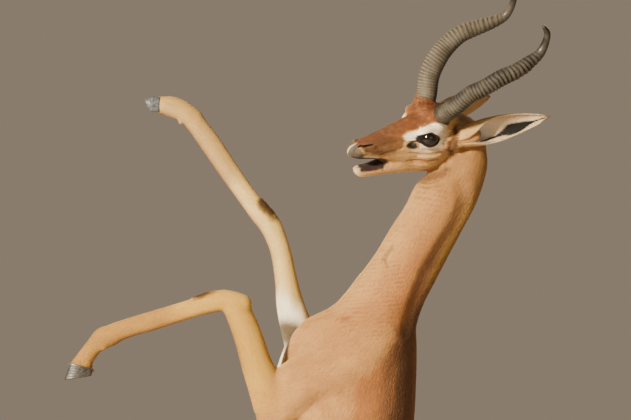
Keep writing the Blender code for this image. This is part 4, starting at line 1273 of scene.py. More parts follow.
    # nose
    nose = ((354.2, 146.6), (351.4, 152.4), (350.0, 160.6), (360.5, 160.8), (362.5, 156.6),
            (361.2, 151.6), (358.6, 149.4))
    rgb = over(rgb, 0.85 * (1 - smooth(polygon(uv, nose) + 0.5 * soft, -1.0, 1.2)), SLATE)
    front = smooth(y, 0.130, 0.139)
    rgb = over(rgb, 0.85 * front * (1 - smooth(x, 0.0095, 0.0125)) * smooth(z, -0.064, -0.056), SLATE * 1.1)
    rgb = over(rgb, 0.85 * front * (1 - smooth(x, 0.0005, 0.0030)) * smooth(z, -0.060, -0.052),
               WHITE * 0.70)
    line(((351.0, 160.2), (356, 158.8), (363, 157.6), (370, 157.8), (377, 158.4), (381.5, 160.6)),
         (0.5, 0.7, 0.9, 0.9, 0.8, 0.5), WHITE * 0.80, 0.8, 1.1)
    rgb = over(rgb, 0.9 * (1 - smooth(stroke(m, [np.array((0.0, 0.1400, -0.062)), np.array((0.012, 0.132, -0.0655))],
                                             (0.0012, 0.0012)), -0.001, 0.0012)), BLACK * 5)
    for (a, b), r in (((376, 152.6), 0.7), ((379.4, 154.6), 0.7), ((373, 154.4), 0.6), ((381, 151.4), 0.6),
                      ((384, 155.4), 0.6), ((377.6, 156.4), 0.5)):
        dd = np.linalg.norm(uv - (a, b), axis=1)
        rgb = over(rgb, 0.55 * (1 - smooth(dd, r * 0.5, r * 1.7)) * (x > 0.006), BROWN)
    pad = smooth(y, 0.117, 0.123) * (1 - smooth(z, -0.050, -0.041)) * smooth(x, 0.0022, 0.0050) * smooth(z, -0.064, -0.060)
    rgb = over(rgb, 0.90 * pad, SLATE)
    # nostril: its opening painted black as the shade inside it
    dn = stroke(uv, [np.array(q) for q in NOSTRIL], (0.5, 0.85, 0.95, 0.75, 0.3))
    rgb = over(rgb, (1 - smooth(dn, 0.0, 0.7)) * smooth(x, 0.006, 0.009), BLACK)
    # inside of the mouth, painted dark as the shade in the opening
    gap = smooth(y, 0.058, 0.066) * (1 - smooth(y, 0.137, 0.142))
    roof_shade = gap * smooth(-up, 0.30, 0.60) * smooth(z, -0.076, -0.070) * (1 - smooth(x, 0.014, 0.018))
    rgb = over(rgb, roof_shade, np.array((0.060, 0.034, 0.034)))
    sill_shade = gap * smooth(up, 0.25, 0.55) * (1 - smooth(z, -0.066, -0.060))
    rgb = over(rgb, sill_shade, np.array((0.050, 0.030, 0.032)))
    back = (1 - smooth(np.linalg.norm(m - (0.010, 0.066, -0.066), axis=1), 0.006, 0.012))
    rgb = over(rgb, back * 0.9, np.array((0.050, 0.028, 0.030)))
    lip = np.linalg.norm(m - (0.004, 0.1135, -0.0905), axis=1)
    rgb = over(rgb, 0.80 * (1 - smooth(lip, 0.0035, 0.0065)), np.array((0.66, 0.52, 0.44)))
    return rgb


def paint(p, n, info):
    """Colour of the coat at points of the skin."""
    u, v = grid_of(p)
    lab, ang, s = info["label"], np.abs(info["angle"]), info["s"]
    is_head = lab == REGIONS.index("head")
    trunk = lab == REGIONS.index("trunk")
    slow = fractal(p, 0.060, 3, 41)
    streak = fractal(p * (1.0, 0.8, 3.4), 0.026, 3, 43)
    fine = fractal(p * (1.0, 1.0, 2.6), 0.007, 2, 44)
    rgb = np.tile(TAN, (len(p), 1))
    rgb = over(rgb, 0.55 * smooth(slow + 0.5 * streak, -0.15, 0.75), SAND)
    rgb = over(rgb, 0.40 * smooth(-slow + 0.6 * streak, 0.0, 0.9), RED)
    # neck: paler throat, redder side, a dark band that is partly darker hair and partly painted shade in the groove,
    # and a lighter crest painted as light along the far edge
    neck = trunk * (1 - smooth(v, 290, 335))
    rgb = over(rgb, 0.55 * neck * (1 - smooth(ang, 0.7, 1.3)), SAND)
    rgb = over(rgb, 0.62 * neck * bump(ang - 1.80, 0.80), RED * 0.92)
    back = math.pi - ang
    wobble = 0.06 * fractal(p, 0.022, 3, 45)
    band = smooth(1.18 + wobble - back, 0.0, 0.22) * trunk
    upper = 1 - smooth(v, 285, 330)
    crest = 1 - smooth(back, 0.45, 0.72)
    # dark band on the neck: darker hair with painted shade in its groove
    rgb = over(rgb, 0.85 * band * upper * smooth(v, 150, 178), SADDLE * 1.15)
    # lighter crest: painted light along the neck's far edge
    rgb = over(rgb, 0.55 * crest * upper * trunk, OCHRE * 0.72)
    # saddle along the back
    line = 0.70 + 0.10 * smooth(v, 380, 440) + 0.22 * smooth(v, 440, 560)
    sad = smooth(line + wobble - back, -0.03, 0.05) * trunk * smooth(v, 262, 318)
    rgb = over(rgb, 0.93 * sad, SADDLE)
    rgb = over(rgb, 0.35 * sad * (1 - smooth(back, 0.12, 0.30)), RED)
    side_band = smooth(ang + wobble, 1.72, 1.86) * trunk * smooth(v, 262, 300)
    rgb = over(rgb, 0.48 * side_band * (1 - sad), RED)
    rgb = over(rgb, 0.50 * smooth(ang + wobble, 2.10, 2.50) * trunk * smooth(v, 262, 300) * (1 - sad), SADDLE * 1.5)
    # underside
    wide = 0.20 + 0.75 * smooth(v, 420, 540) + 0.25 * smooth(v, 590, 640)
    wide = wide * smooth(v, 318, 350)
    under = smooth(wide + 0.5 * wobble - ang, -0.06, 0.08) * trunk
    rgb = over(rgb, 0.93 * under, WHITE * 0.95)
    throat = trunk * (1 - smooth(ang, 0.25, 0.60)) * (1 - smooth(v, 200, 235))
    rgb = over(rgb, 0.5 * throat, CREAM)
    rgb = over(rgb, 0.45 * trunk * (1 - smooth(v, 225, 262)), np.array((0.43, 0.250, 0.115)))
    rgb = over(rgb, 0.70 * trunk * (1 - smooth(v, 172, 208)), np.array((0.360, 0.205, 0.092)))
    # redder flank passing into the saddle, low on the body
    rgb = over(rgb, 0.62 * smooth(ang + 1.5 * wobble, 1.62, 1.84) * trunk * smooth(v, 335, 375) * (1 - sad), RED * 0.86)
    rgb = over(rgb, 0.70 * smooth(ang + wobble, 2.08, 2.36) * trunk * smooth(v, 300, 345) * (1 - sad), SADDLE * 1.5)
    # forelegs
    for tag, sgn in (("left_fore", 1.0), ("right_fore", -1.0)):
        m = lab == REGIONS.index(tag)
        a = info["angle"] * -sgn                     # inner side positive
        lower = smooth(s, 0.20, 0.27)
        rgb = np.where(m[:, None], over(rgb, 0.85 * lower, OCHRE), rgb)
        cream = (smooth(s, 0.10, 0.20) if sgn > 0 else 1.0) * smooth(a, -0.40, 0.10) * (1 - 0.75 * smooth(a, 2.85, 3.1))
        rgb = np.where(m[:, None], over(rgb, 0.80 * cream, np.array((0.700, 0.520, 0.225))), rgb)
        inner = smooth(a, 1.25, 1.70) * (1 - 0.75 * smooth(a, 2.85, 3.1)) * smooth(s, 0.10, 0.16)
        knee = smooth(s, 0.265, 0.305)
        rgb = np.where(m[:, None], over(rgb, inner * (0.95 - 0.80 * knee), WHITE), rgb)
        strip = bump(a - 1.05, 0.28) * smooth(s, 0.14, 0.18) * (1 - knee)
        rgb = np.where(m[:, None], over(rgb, 0.35 * strip, np.array((0.50, 0.44, 0.22))), rgb)
        palm = smooth(np.abs(info["angle"]), 2.2, 2.9) * knee
        rgb = np.where(m[:, None], over(rgb, 0.45 * palm, BROWN * 2.4), rgb)
        foot = smooth(s, 0.505, 0.560)
        rgb = np.where(m[:, None], over(rgb, 0.45 * foot, BROWN * 2.0), rgb)
    # hind legs: white inside, tan outside
    for tag, sgn in (("left_hind", 1.0), ("right_hind", -1.0)):
        m = lab == REGIONS.index(tag)
        a = info["angle"] * -sgn
        inner = smooth(a, 0.50, 0.95) * (1 - 0.8 * smooth(a, 2.8, 3.1)) * (1 - 0.75 * smooth(s, 0.42, 0.56))
        rgb = np.where(m[:, None], over(rgb, 0.92 * inner, WHITE * 0.95), rgb)
        rgb = np.where(m[:, None], over(rgb, 0.45 * smooth(s, 0.40, 0.55), OCHRE), rgb)
        palm = smooth(np.abs(info["angle"]), 2.3, 2.9) * smooth(s, 0.44, 0.52)
        rgb = np.where(m[:, None], over(rgb, 0.40 * palm, BROWN * 2.4), rgb)
        foot = smooth(s, 0.800, 0.860)
        rgb = np.where(m[:, None], over(rgb, 0.5 * foot, BROWN * 2.0), rgb)
    # rump patch and tail
    rump = capsule(p * (1.0, 1.0, 1.0), side(420, 646, 0), side(414, 706, 0), 0.040, 0.052)
    hip = (lab != REGIONS.index("tail")) & (n[:, 1] > 0.15)
    rgb = over(rgb, (1 - smooth(rump + 0.004 * wobble / 0.06, -0.003, 0.004)) * hip, WHITE)
    tail = lab == REGIONS.index("tail")
    rgb = np.where(tail[:, None], over(rgb, smooth(s, 0.075, 0.115), BLACK * 1.8), rgb)
    # knee brushes
    for c in KNEE_BRUSH:
        d = capsule(p, c[0], c[1], 0.0085)
        rgb = over(rgb, 0.92 * (1 - smooth(d + 0.0015 * fine, -0.001, 0.006)), BROWN * 0.62)
    # pale front of the chest toward the far arm and in the far armpit: the white of the underparts, also painted in to
    # lift the shade of the armpit
    rim = (1 - smooth(p[:, 0], -0.012, 0.018)) * smooth(v, 296, 312) * (1 - smooth(v, 372, 392)) \
        * (1 - smooth(u, 326, 338)) * (1 - (lab == REGIONS.index("head"))) * smooth(n[:, 0], -0.75, -0.35)
    rgb = over(rgb, 0.85 * rim * (lab != REGIONS.index("right_fore")), SAND * 1.15)
    arm = (lab == REGIONS.index("right_fore")) * smooth(v, 318, 335) * smooth(p[:, 0], -0.095, -0.070) * smooth(n[:, 0], -0.20, 0.15)
    rgb = over(rgb, 0.85 * arm, WHITE * 0.97)
    armpit_white_and_light = (1 - smooth(p[:, 0], -0.040, -0.022)) * smooth(v, 296, 318) * (1 - smooth(v, 366, 385)) \
        * (1 - smooth(u, 300, 312)) * (1 - (lab == REGIONS.index("head"))) * smooth(n[:, 0], -0.20, 0.15)
    rgb = over(rgb, 0.95 * armpit_white_and_light, WHITE)
    # painted shadow below the angle of the jaw
    jaw_shadow = stroke(np.stack((u, v), 1), [np.array(q, float) for q in ((449, 168), (440, 173.5), (426, 177), (417, 179))],
                 (1.5, 4.0, 4.0, 1.5))
    rgb = over(rgb, 0.72 * (1 - smooth(jaw_shadow, -1.5, 2.5)), BROWN * 1.35)
    # small marks on neck and chest
    near = (p[:, 0] > 0.0).astype(float)
    g = np.stack((u, v), 1)
    d = np.linalg.norm((g - (344.2, 317.3)) / (5.6, 3.2), axis=1)
    rgb = over(rgb, 0.72 * near * (1 - smooth(d + 0.3 * fine, 0.35, 1.25)), np.array((0.21, 0.075, 0.032)))
    d = np.linalg.norm((g - (357, 321)) / (7.5, 2.6), axis=1)
    rgb = over(rgb, 0.35 * near * (1 - smooth(d + 0.4 * fine, 0.3, 1.3)), RED * 0.8)
    # painted shade in a crease low on the throat
    d = stroke(g, [np.array(q, float) for q in ((393, 245.5), (388, 252), (384.6, 259.5), (387, 266))],
               (0.6, 1.3, 1.5, 0.6))
    rgb = over(rgb, 0.62 * near * (1 - smooth(d + 0.9 * fine, -0.8, 1.8)), BROWN * 1.9)
    # head last, blended into the neck
    h = to_head(p)
    headish = smooth(-np.linalg.norm((h - (0, 0.010, -0.015)) * (1.0, 1.0, 1.15), axis=1), -0.165, -0.128)
    headish = np.where(is_head, 1.0, headish * (info["near"] < 1.6) * 0.0)
    idx = np.nonzero(is_head)[0]
    if len(idx):
        m, uv = mirrored(h[idx])
        base = rgb[idx] * 0.35 + CHEEK * 0.65
        got = paint_head(p[idx], n[idx], m, uv, base, (h[idx][:, 0] < 0).astype(float))
        # cheeks pass into the neck's colour at the back
        t = smooth(-h[idx][:, 1], 0.050, 0.086)[:, None] * (1 - 0.75 * smooth(h[idx][:, 2], 0.000, 0.030))[:, None]
        rgb[idx] = got + (rgb[idx] - got) * t
    # one key for the whole coat, then the small differences from tuft to tuft
    rgb = np.clip(rgb, 0.002, 1.0) ** (1.12, 1.18, 1.32)
    tone = 1 + 0.12 * streak + 0.11 * fine + 0.06 * slow
    return np.clip(rgb * tone[:, None], 0.003, 0.95)


KNEE_BRUSH = ((side(203, 294.5, 0.0855), side(214, 292.0, 0.0905)),
              (side(262.5, 207.5, -0.0590), side(272.5, 218.5, -0.0590)))


# ------------------------------------------------------------------ coat materials
def coat_material(name, tuft=False):
    mat, nodes, links, bsdf = new_material(name, (0.45, 0.27, 0.13), 0.78)
    at = nodes.new("ShaderNodeAttribute")
    at.attribute_name = "coat"
    geo = nodes.new("ShaderNodeTexCoord").outputs["Object"]
    colour = at.outputs["Color"]
    speck = noise_node(nodes, links, geo, 420.0, 3.0, 0.65)
    colour = mix_colour(nodes, links, remap(nodes, links, speck, 0.35, 0.75, 0.0, 0.22), colour,
                        mix_colour(nodes, links, 1.0, colour, (0.62, 0.55, 0.50), 'MULTIPLY'))
    patch = noise_node(nodes, links, geo, 55.0, 4.0, 0.6)
    colour = mix_colour(nodes, links, remap(nodes, links, patch, 0.45, 0.75, 0.0, 0.25), colour,
                        mix_colour(nodes, links, 1.0, colour, (1.18, 1.12, 1.05), 'MULTIPLY'))
    links.new(colour, bsdf.inputs["Base Color"])
    rough = remap(nodes, links, noise_node(nodes, links, geo, 90.0), 0.3, 0.7, 0.62, 0.82)
    links.new(rough, bsdf.inputs["Roughness"])
    bsdf.inputs["Specular IOR Level"].default_value = 0.28
    bsdf.inputs["Sheen Weight"].default_value = 0.12
    bsdf.inputs["Sheen Roughness"].default_value = 0.45
    if not tuft:
        uv = nodes.new("ShaderNodeUVMap")
        uv.uv_map = "OFBake"
        scale = nodes.new("ShaderNodeMapping")
        scale.inputs["Scale"].default_value = (1300.0, 150.0, 1.0)
        links.new(uv.outputs["UV"], scale.inputs["Vector"])
        hair = noise_node(nodes, links, scale.outputs["Vector"], 1.0, 3.0, 0.6)
        bump_node(nodes, links, bsdf, hair, 0.0007, 0.45)
        pore = noise_node(nodes, links, geo, 260.0, 2.0, 0.5)
        bump_node(nodes, links, bsdf, pore, 0.0005, 0.25)
    return mat


# ------------------------------------------------------------------ unwrap of the skin
SHEET = 1.62                # side of the unwrap in metres of skin
PLACES = {                  # column, row of the start, scale round, scale along
    "trunk": (0.325, 0.070, 0.092, 1.0), "left_hind": (0.775, 0.050, 0.034, 1.0),
    "right_hind": (1.015, 0.050, 0.034, 1.0), "left_fore": (1.240, 0.050, 0.030, 1.0),
    "right_fore": (1.465, 0.050, 0.030, 1.0), "tail": (1.180, 0.900, 0.014, 1.0),
    "head": (0.900, 1.160, 0.062, 1.45)}


def unwrap(p, tris, info):
    """Corner coordinates of an unwrap round each limb's own middle line."""
    tracks = limb_tracks()
    lab = info["label"][tris]
    face = np.where(lab[:, 0] == lab[:, 1], lab[:, 0], lab[:, 2])
    uv = np.zeros((len(tris), 3, 2))
    for k, name in enumerate(REGIONS):
        rows = np.nonzero(face == k)[0]
        if not len(rows):
            continue
        used, inv = np.unique(tris[rows].ravel(), return_inverse=True)
        q = p[used]
        s, _d, way, foot, _r = along(q, *tracks[name])
        ref = HEAD_LEFT if name == "head" else np.array((1.0, 0, 0))
        across = unit(ref - way * (way @ ref)[:, None])
        up = np.cross(way, across)
        rel = q - foot
        ang = np.arctan2((rel * across).sum(1), (rel * up).sum(1))
        x0, y0, rho, scale = PLACES[name]
        a = ang[inv].reshape(-1, 3)
        wide = (a.max(1) - a.min(1)) > math.pi
        a = np.where(wide[:, None] & (a < 0), a + 2 * math.pi, a)
        uv[rows, :, 0] = (x0 + a * rho) / SHEET
        uv[rows, :, 1] = (y0 + s[inv].reshape(-1, 3) * scale) / SHEET
    return np.clip(uv, 0.001, 0.999)


# ------------------------------------------------------------------ ears
EAR_SHAPE = (
    (-0.10, 0.0150, 0.0150, 0.0060, 168), (0.03, 0.0200, 0.0190, 0.0050, 164),
    (0.14, 0.0247, 0.0200, 0.0042, 150), (0.27, 0.0272, 0.0175, 0.0036, 122),
    (0.42, 0.0274, 0.0140, 0.0032, 100), (0.58, 0.0242, 0.0105, 0.0029, 88),
    (0.73, 0.0190, 0.0075, 0.0026, 80), (0.86, 0.0125, 0.0052, 0.0023, 76),
    (0.95, 0.0062, 0.0034, 0.0019, 74), (1.00, 0.0022, 0.0020, 0.0014, 72))
EAR_PLACE = {"left_ear": (1.12, 1.20), "right_ear": (1.36, 1.20)}


def ear_shell(name, arc=30, steps=74):
    """Vertices, triangles, corner unwrap, colour and lie of the coat of one ear."""
    base, axis, opening, edge = ear_frame(name)
    base = np.array(base)
    table = np.array(EAR_SHAPE)
    rows = spline(table, np.linspace(0, len(table) - 1, steps))
    verts, cols, flow, inner_flag = [], [], [], []
    low_side = -1.0 if edge @ (HEAD_UP * 0.6 - HEAD_FORE * 0.3) > 0 else 1.0
    for t, a, b, th, half in rows:
        c = base + axis * EAR_LENGTH * t
        half = math.radians(min(half, 170))
        bend = 0.010 * math.sin(math.pi * max(t, 0)) * (0.4)
        c = c - opening * bend * 0.5
        th = th * 0.72
        a, b = a - 0.0008, b - 0.0004
        for inner in (False, True):
            qs = np.linspace(-half, half, arc) if not inner else np.linspace(half * 0.975, -half * 0.975, arc)
            for q in qs:
                k = th if inner else 0.0
                lip = 0.0012 * abs(q / half) ** 6 * (1 if t < 0.9 else 0.3)
                wave = 0.0006 * math.sin(9 * t + 3 * q)
                verts.append(c + (a - k) * math.sin(q) * edge - (b - k - wave) * math.cos(q) * opening
                             + opening * lip)
                qn = abs(q) / half
                col = ear_colour(t, qn, inner, q / half * low_side)
                cols.append(col)
                side_in = -math.copysign(1, q) * edge * (0.35 if inner and qn > 0.5 else 0.0)
                flow.append(axis + side_in)
                inner_flag.append(inner)
    n = arc * 2
    verts = np.array(verts)
    tris, uvs = [], []
    x0, y0 = EAR_PLACE[name]
    for i in range(steps - 1):
        for j in range(n):
            k = (j + 1) % n
            a, b, c, d = i * n + j, i * n + k, (i + 1) * n + k, (i + 1) * n + j
            ua, ub = x0 + 0.20 * j / n, x0 + 0.20 * (j + 1) / n
            va, vb = y0 + 0.24 * i / steps, y0 + 0.24 * (i + 1) / steps
            tris += [(a, b, c), (a, c, d)]
            uvs += [((ua, va), (ub, va), (ub, vb)), ((ua, va), (ub, vb), (ua, vb))]
    for i, flip in ((0, False), (steps - 1, True)):
        for j in range(arc - 1):
            a, b, c, d = i * n + j, i * n + j + 1, i * n + n - 2 - j, i * n + n - 1 - j
            quad = [(a, c, b), (a, d, c)] if not flip else [(a, b, c), (a, c, d)]
            tris += quad
            v = y0 + 0.24 * i / steps
            uvs += [((x0 + 0.01, v),) * 3] * 2
    tris, uvs = np.array(tris), np.array(uvs) / SHEET
    # faces point outward
    mid = verts[tris[:2 * (steps // 2) * n + 2]].mean(0)
    t0 = tris[2 * (steps // 2) * n + arc]
    nrm = np.cross(verts[t0[1]] - verts[t0[0]], verts[t0[2]] - verts[t0[0]])
    if nrm @ (-opening) < 0:
        tris = tris[:, ::-1]
        uvs = uvs[:, ::-1]
    return verts, tris, uvs, np.array(cols), unit(np.array(flow)), np.array(inner_flag)


def ear_colour(t, qn, inner, q):
    """Colour across an ear: q runs from -1 at the upper rim to 1 at the lower one."""
    back = TAN * 0.50 + OCHRE * 0.55
    pale = CREAM * 1.08

    def soft(x, a, b):
        return float(smooth(np.array(x), a, b))
    if inner:
        col = WHITE * 0.95
        col = col + (CREAM * 0.95 - col) * 0.85 * soft(t, 0.16, 0.40)
        col = col + (np.array((0.560, 0.390, 0.165)) - col) * 0.75 * soft(-q, 0.10, 0.60)
        col = col + (np.array((0.560, 0.420, 0.210)) - col) * 0.60 * soft(q, 0.45, 0.75)
        mid = float(np.interp(t, (0.08, 0.37, 0.55, 0.70, 0.80, 0.92), (0.60, 0.50, 0.45, 0.40, 0.31, 0.12)))
        mid += 0.03 * math.sin(23 * t)
        wide = float(np.interp(t, (0.08, 0.36, 0.44, 0.52, 0.60, 0.70, 0.78, 0.86, 1.0),
                               (0.04, 0.06, 0.17, 0.42, 0.46, 0.38, 0.18, 0.09, 0.06)))
        wide *= soft(t, 0.06, 0.14)
        dark = 1 - soft(abs(q - mid), wide * 0.80, wide * 1.08 + 0.04)
        col = col + (TAN * 1.1 - col) * 0.75 * soft(-q, 0.70, 0.93)
        col = col + (BLACK * 0.6 - col) * dark
        low = soft(t, -0.05, 0.10)
        col = col * low + TAN * (1 - low)
    else:
        col = back + (pale - back) * soft(qn, 0.80, 0.99) * soft(t, 0.1, 0.25)
        col = col + (RED * 0.9 - col) * 0.45 * soft(t, 0.35, 0.9) * (1 - 0.6 * qn)
    tip = soft(t + 0.04 * math.sin(7 * q), 0.87, 0.96)
    return col + (BROWN * 0.70 - col) * 0.92 * tip


# ------------------------------------------------------------------ horns
HORN_LINE = (
    (0.0353, -0.0140, 0.0570), (0.0536, -0.0195, 0.0864), (0.0646, -0.0320, 0.1174),
    (0.0748, -0.0522, 0.1405), (0.0790, -0.0759, 0.1630), (0.0780, -0.1069, 0.1793),
    (0.0718, -0.1340, 0.1956), (0.0676, -0.1553, 0.2155), (0.0650, -0.1579, 0.2501),
    (0.0624, -0.1425, 0.2700))
HORN_TURN = (0.60, 0.80, -0.06)      # way of a section's long axis at the root
HORN_GIRTH = (       # share of length, long and short half breadth
    (0.00, 0.0195, 0.0178), (0.10, 0.0198, 0.0168), (0.22, 0.0195, 0.0161),
    (0.33, 0.0180, 0.0157), (0.45, 0.0169, 0.0158), (0.55, 0.0152, 0.0147),
    (0.65, 0.0122, 0.0128), (0.75, 0.0094, 0.0099), (0.85, 0.0069, 0.0072),
    (0.94, 0.0056, 0.0058), (0.985, 0.0040, 0.0041), (1.00, 0.0012, 0.0012))
HORN_STEPS, HORN_SIDES, ROOT_ROWS = 430, 44, 26
HORN_ALONG = 0.300
ROOT_DEEP = 0.0130


def horn_girth(t):
    """Half breadths of the horn's oval section, t from root to tip."""
    table = np.array(HORN_GIRTH)
    return np.interp(t, table[:, 0], table[:, 1]), np.interp(t, table[:, 0], table[:, 2])


def make_horn(s, name):
    """A ringed horn: crests stand out in front and close up toward the root."""
    line = np.array([head(s * x, y, z) for x, y, z in HORN_LINE])
    start = unit(line[1] - line[0]) * 0.4 + unit(head_way(s * HORN_WAY[0], HORN_WAY[1], HORN_WAY[2])) * 0.6
    line = np.vstack((line[0] - unit(start) * ROOT_DEEP, line))
    k = len(line) - 1
    ts = np.concatenate((np.linspace(-ROOT_DEEP / HORN_ALONG, 0, ROOT_ROWS, endpoint=False),
                         np.linspace(0, 0.985, HORN_STEPS - 20), np.linspace(0.985, 0.9995, 21)[1:]))
    place = np.where(ts < 0, 1 + ts / (ROOT_DEEP / HORN_ALONG), 1 + ts * (k - 1))
    pts = spline(line, place)
    ahead = spline(line, np.minimum(place + 0.02, k))
    behind = spline(line, np.maximum(place - 0.02, 0.0))
    way = unit(ahead - behind)
    long_way = np.empty_like(way)
    turn = head_way(s * HORN_TURN[0], HORN_TURN[1], HORN_TURN[2])
    for i in range(len(ts)):
        turn = turn - way[i] * turn.dot(way[i])
        turn = turn / np.linalg.norm(turn)
        long_way[i] = turn
    short_way = np.cross(way, long_way)
    hand = 1.0 if s > 0 else -1.0                 # front lies between the long and the short axis
    q = np.arange(HORN_SIDES) * 2 * math.pi / HORN_SIDES
    tau = ts / 0.80
    gap = 0.0050 + 0.0072 * np.clip(tau, 0, 1) ** 1.7
    rise = np.diff(ts, prepend=ts[0]) * HORN_ALONG / gap
    phase = np.cumsum(rise)
    seed = 3.0 if s > 0 else 8.0
    grid_t, grid_q = np.meshgrid(ts, q, indexing="ij")
    shift = 0.26 * fractal(np.stack((grid_t.ravel() * 26 + seed, np.cos(grid_q.ravel()) * 1.3,
                                     np.sin(grid_q.ravel()) * 1.3), 1), 1.0, 2, 51).reshape(grid_t.shape)
    front = 0.5 + 0.5 * np.cos(grid_q - hand * math.radians(45))
    ph = phase[:, None] + shift - 0.55 * (front - 0.5)
    saw = ph - np.floor(ph)
    crest = np.where(saw < 0.60, np.clip(np.sin(saw / 0.60 * math.pi / 2), 0, 1) ** 1.25,
                     np.clip(np.cos((saw - 0.60) / 0.40 * math.pi / 2), 0, 1) ** 0.75)
    each = 1 + (0.35 + 0.55 * smooth(tau, 0.35, 0.75))[:, None] * hash_noise(np.stack((np.floor(ph).ravel() * 3.7, np.cos(grid_q.ravel()) * 0.9,
                                           np.sin(grid_q.ravel()) * 0.9 + seed), 1), 1.0, 52).reshape(ph.shape)
    amount = ((0.0013 + 0.0013 * np.clip(tau, 0, 1) ** 1.2) * smooth(tau, -0.05, 0.04)
              * (1 - smooth(tau, 0.80, 1.0)))[:, None] * (0.22 + 0.98 * front ** 1.3) * each
    a, b = horn_girth(np.clip(ts, 0, 1))
    flute = 0.00016 * np.cos(grid_q * 17 + 2 * np.sin(grid_t * 9)) * (1 - smooth(grid_t, 0.70, 0.9))
    rad = -0.0004 + amount * (crest - 0.38) + flute
    c, w = np.cos(grid_q)[..., None], np.sin(grid_q)[..., None]
    oval = (a[:, None, None] + rad[..., None]) * c * long_way[:, None, :] \
        + (b[:, None, None] + rad[..., None]) * w * short_way[:, None, :]
    ring = pts[:, None, :] + oval
    n, m = len(ts), HORN_SIDES
    i, j = np.meshgrid(np.arange(n - 1), np.arange(m), indexing="ij")
    j2 = (j + 1) % m
    quads = np.stack((i * m + j, i * m + j2, (i + 1) * m + j2, (i + 1) * m + j), -1).reshape(-1, 4)
    faces = quads.tolist()
    verts = np.vstack((ring.reshape(-1, 3), line[-1], pts[0]))
    faces += [((n - 1) * m + x, (n - 1) * m + (x + 1) % m, n * m) for x in range(m)]
    faces += [((x + 1) % m, x, n * m + 1) for x in range(m)]
    ob = new_mesh_object(name, verts, faces)
    bm = bmesh.new()
    bm.from_mesh(ob.data)
    bmesh.ops.recalc_face_normals(bm, faces=bm.faces)
    bm.to_mesh(ob.data)
    bm.free()
    ob.data.shade_smooth()
    # crests paler than the grooves, the tip near black
    pale = np.array((0.225, 0.180, 0.112))
    dark = np.array((0.034, 0.025, 0.016))
    f = np.clip(crest * 0.95 + 0.05, 0, 1) ** 1.2 * (0.35 + 0.80 * front)
    wear = fractal(ring.reshape(-1, 3), 0.010, 3, 53).reshape(f.shape)
    f = np.clip(f * (0.85 + 0.40 * wear), 0, 1)
    c = dark + (pale - dark) * f[..., None]
    plainness = smooth(tau, 0.86, 1.0)[:, None, None]
    c = c + (np.array((0.080, 0.066, 0.052)) - c) * plainness * 0.85
    c = c + (np.array((0.026, 0.021, 0.018)) - c) * smooth(ts, 0.80, 0.92)[:, None, None]
    c = c + (np.array((0.215, 0.160, 0.070)) - c) * (0.35 * (1 - smooth(tau, 0.02, 0.12)))[:, None, None] \
        * front[..., None]
    # the near horn painted much darker than the far one, as painted shade
    c = c * (0.29 if s > 0 else 0.95)
    c = np.vstack((c.reshape(-1, 3), [dark, dark]))
    colour_attribute(ob.data, "horn", c)
    gloss = smooth(tau, 0.84, 1.0)
    colour_attribute(ob.data, "wear", np.vstack((np.repeat(gloss, m)[:, None] * np.ones((1, 3)),
                                                 np.ones((2, 3)))))
    return ob


def horn_material():
    mat, nodes, links, bsdf = new_material("horn", (0.12, 0.09, 0.06), 0.42)
    at = nodes.new("ShaderNodeAttribute")
    at.attribute_name = "horn"
    geo = nodes.new("ShaderNodeTexCoord").outputs["Object"]
    n = noise_node(nodes, links, geo, 170.0, 5.0, 0.6)
    c = mix_colour(nodes, links, remap(nodes, links, n, 0.35, 0.70, 0.0, 0.55), at.outputs["Color"],
                   mix_colour(nodes, links, 1.0, at.outputs["Color"], (0.55, 0.52, 0.48), 'MULTIPLY'))
    n2 = noise_node(nodes, links, geo, 38.0, 3.0, 0.5)
    c = mix_colour(nodes, links, remap(nodes, links, n2, 0.45, 0.75, 0.0, 0.35), c, (0.19, 0.165, 0.11))
    links.new(c, bsdf.inputs["Base Color"])
    polish = nodes.new("ShaderNodeAttribute")
    polish.attribute_name = "wear"
    split = nodes.new("ShaderNodeMapRange")
    split.inputs["To Min"].default_value = 0.62
    split.inputs["To Max"].default_value = 0.24
    links.new(polish.outputs["Fac"], split.inputs["Value"])
    add = nodes.new("ShaderNodeMath")
    add.operation = 'MULTIPLY_ADD'
    add.inputs[1].default_value = 0.16
    links.new(n, add.inputs[0])
    links.new(split.outputs["Result"], add.inputs[2])
    links.new(add.outputs[0], bsdf.inputs["Roughness"])
    bump_node(nodes, links, bsdf, n, 0.0006, 0.5)
    bsdf.inputs["Specular IOR Level"].default_value = 0.42
    return mat


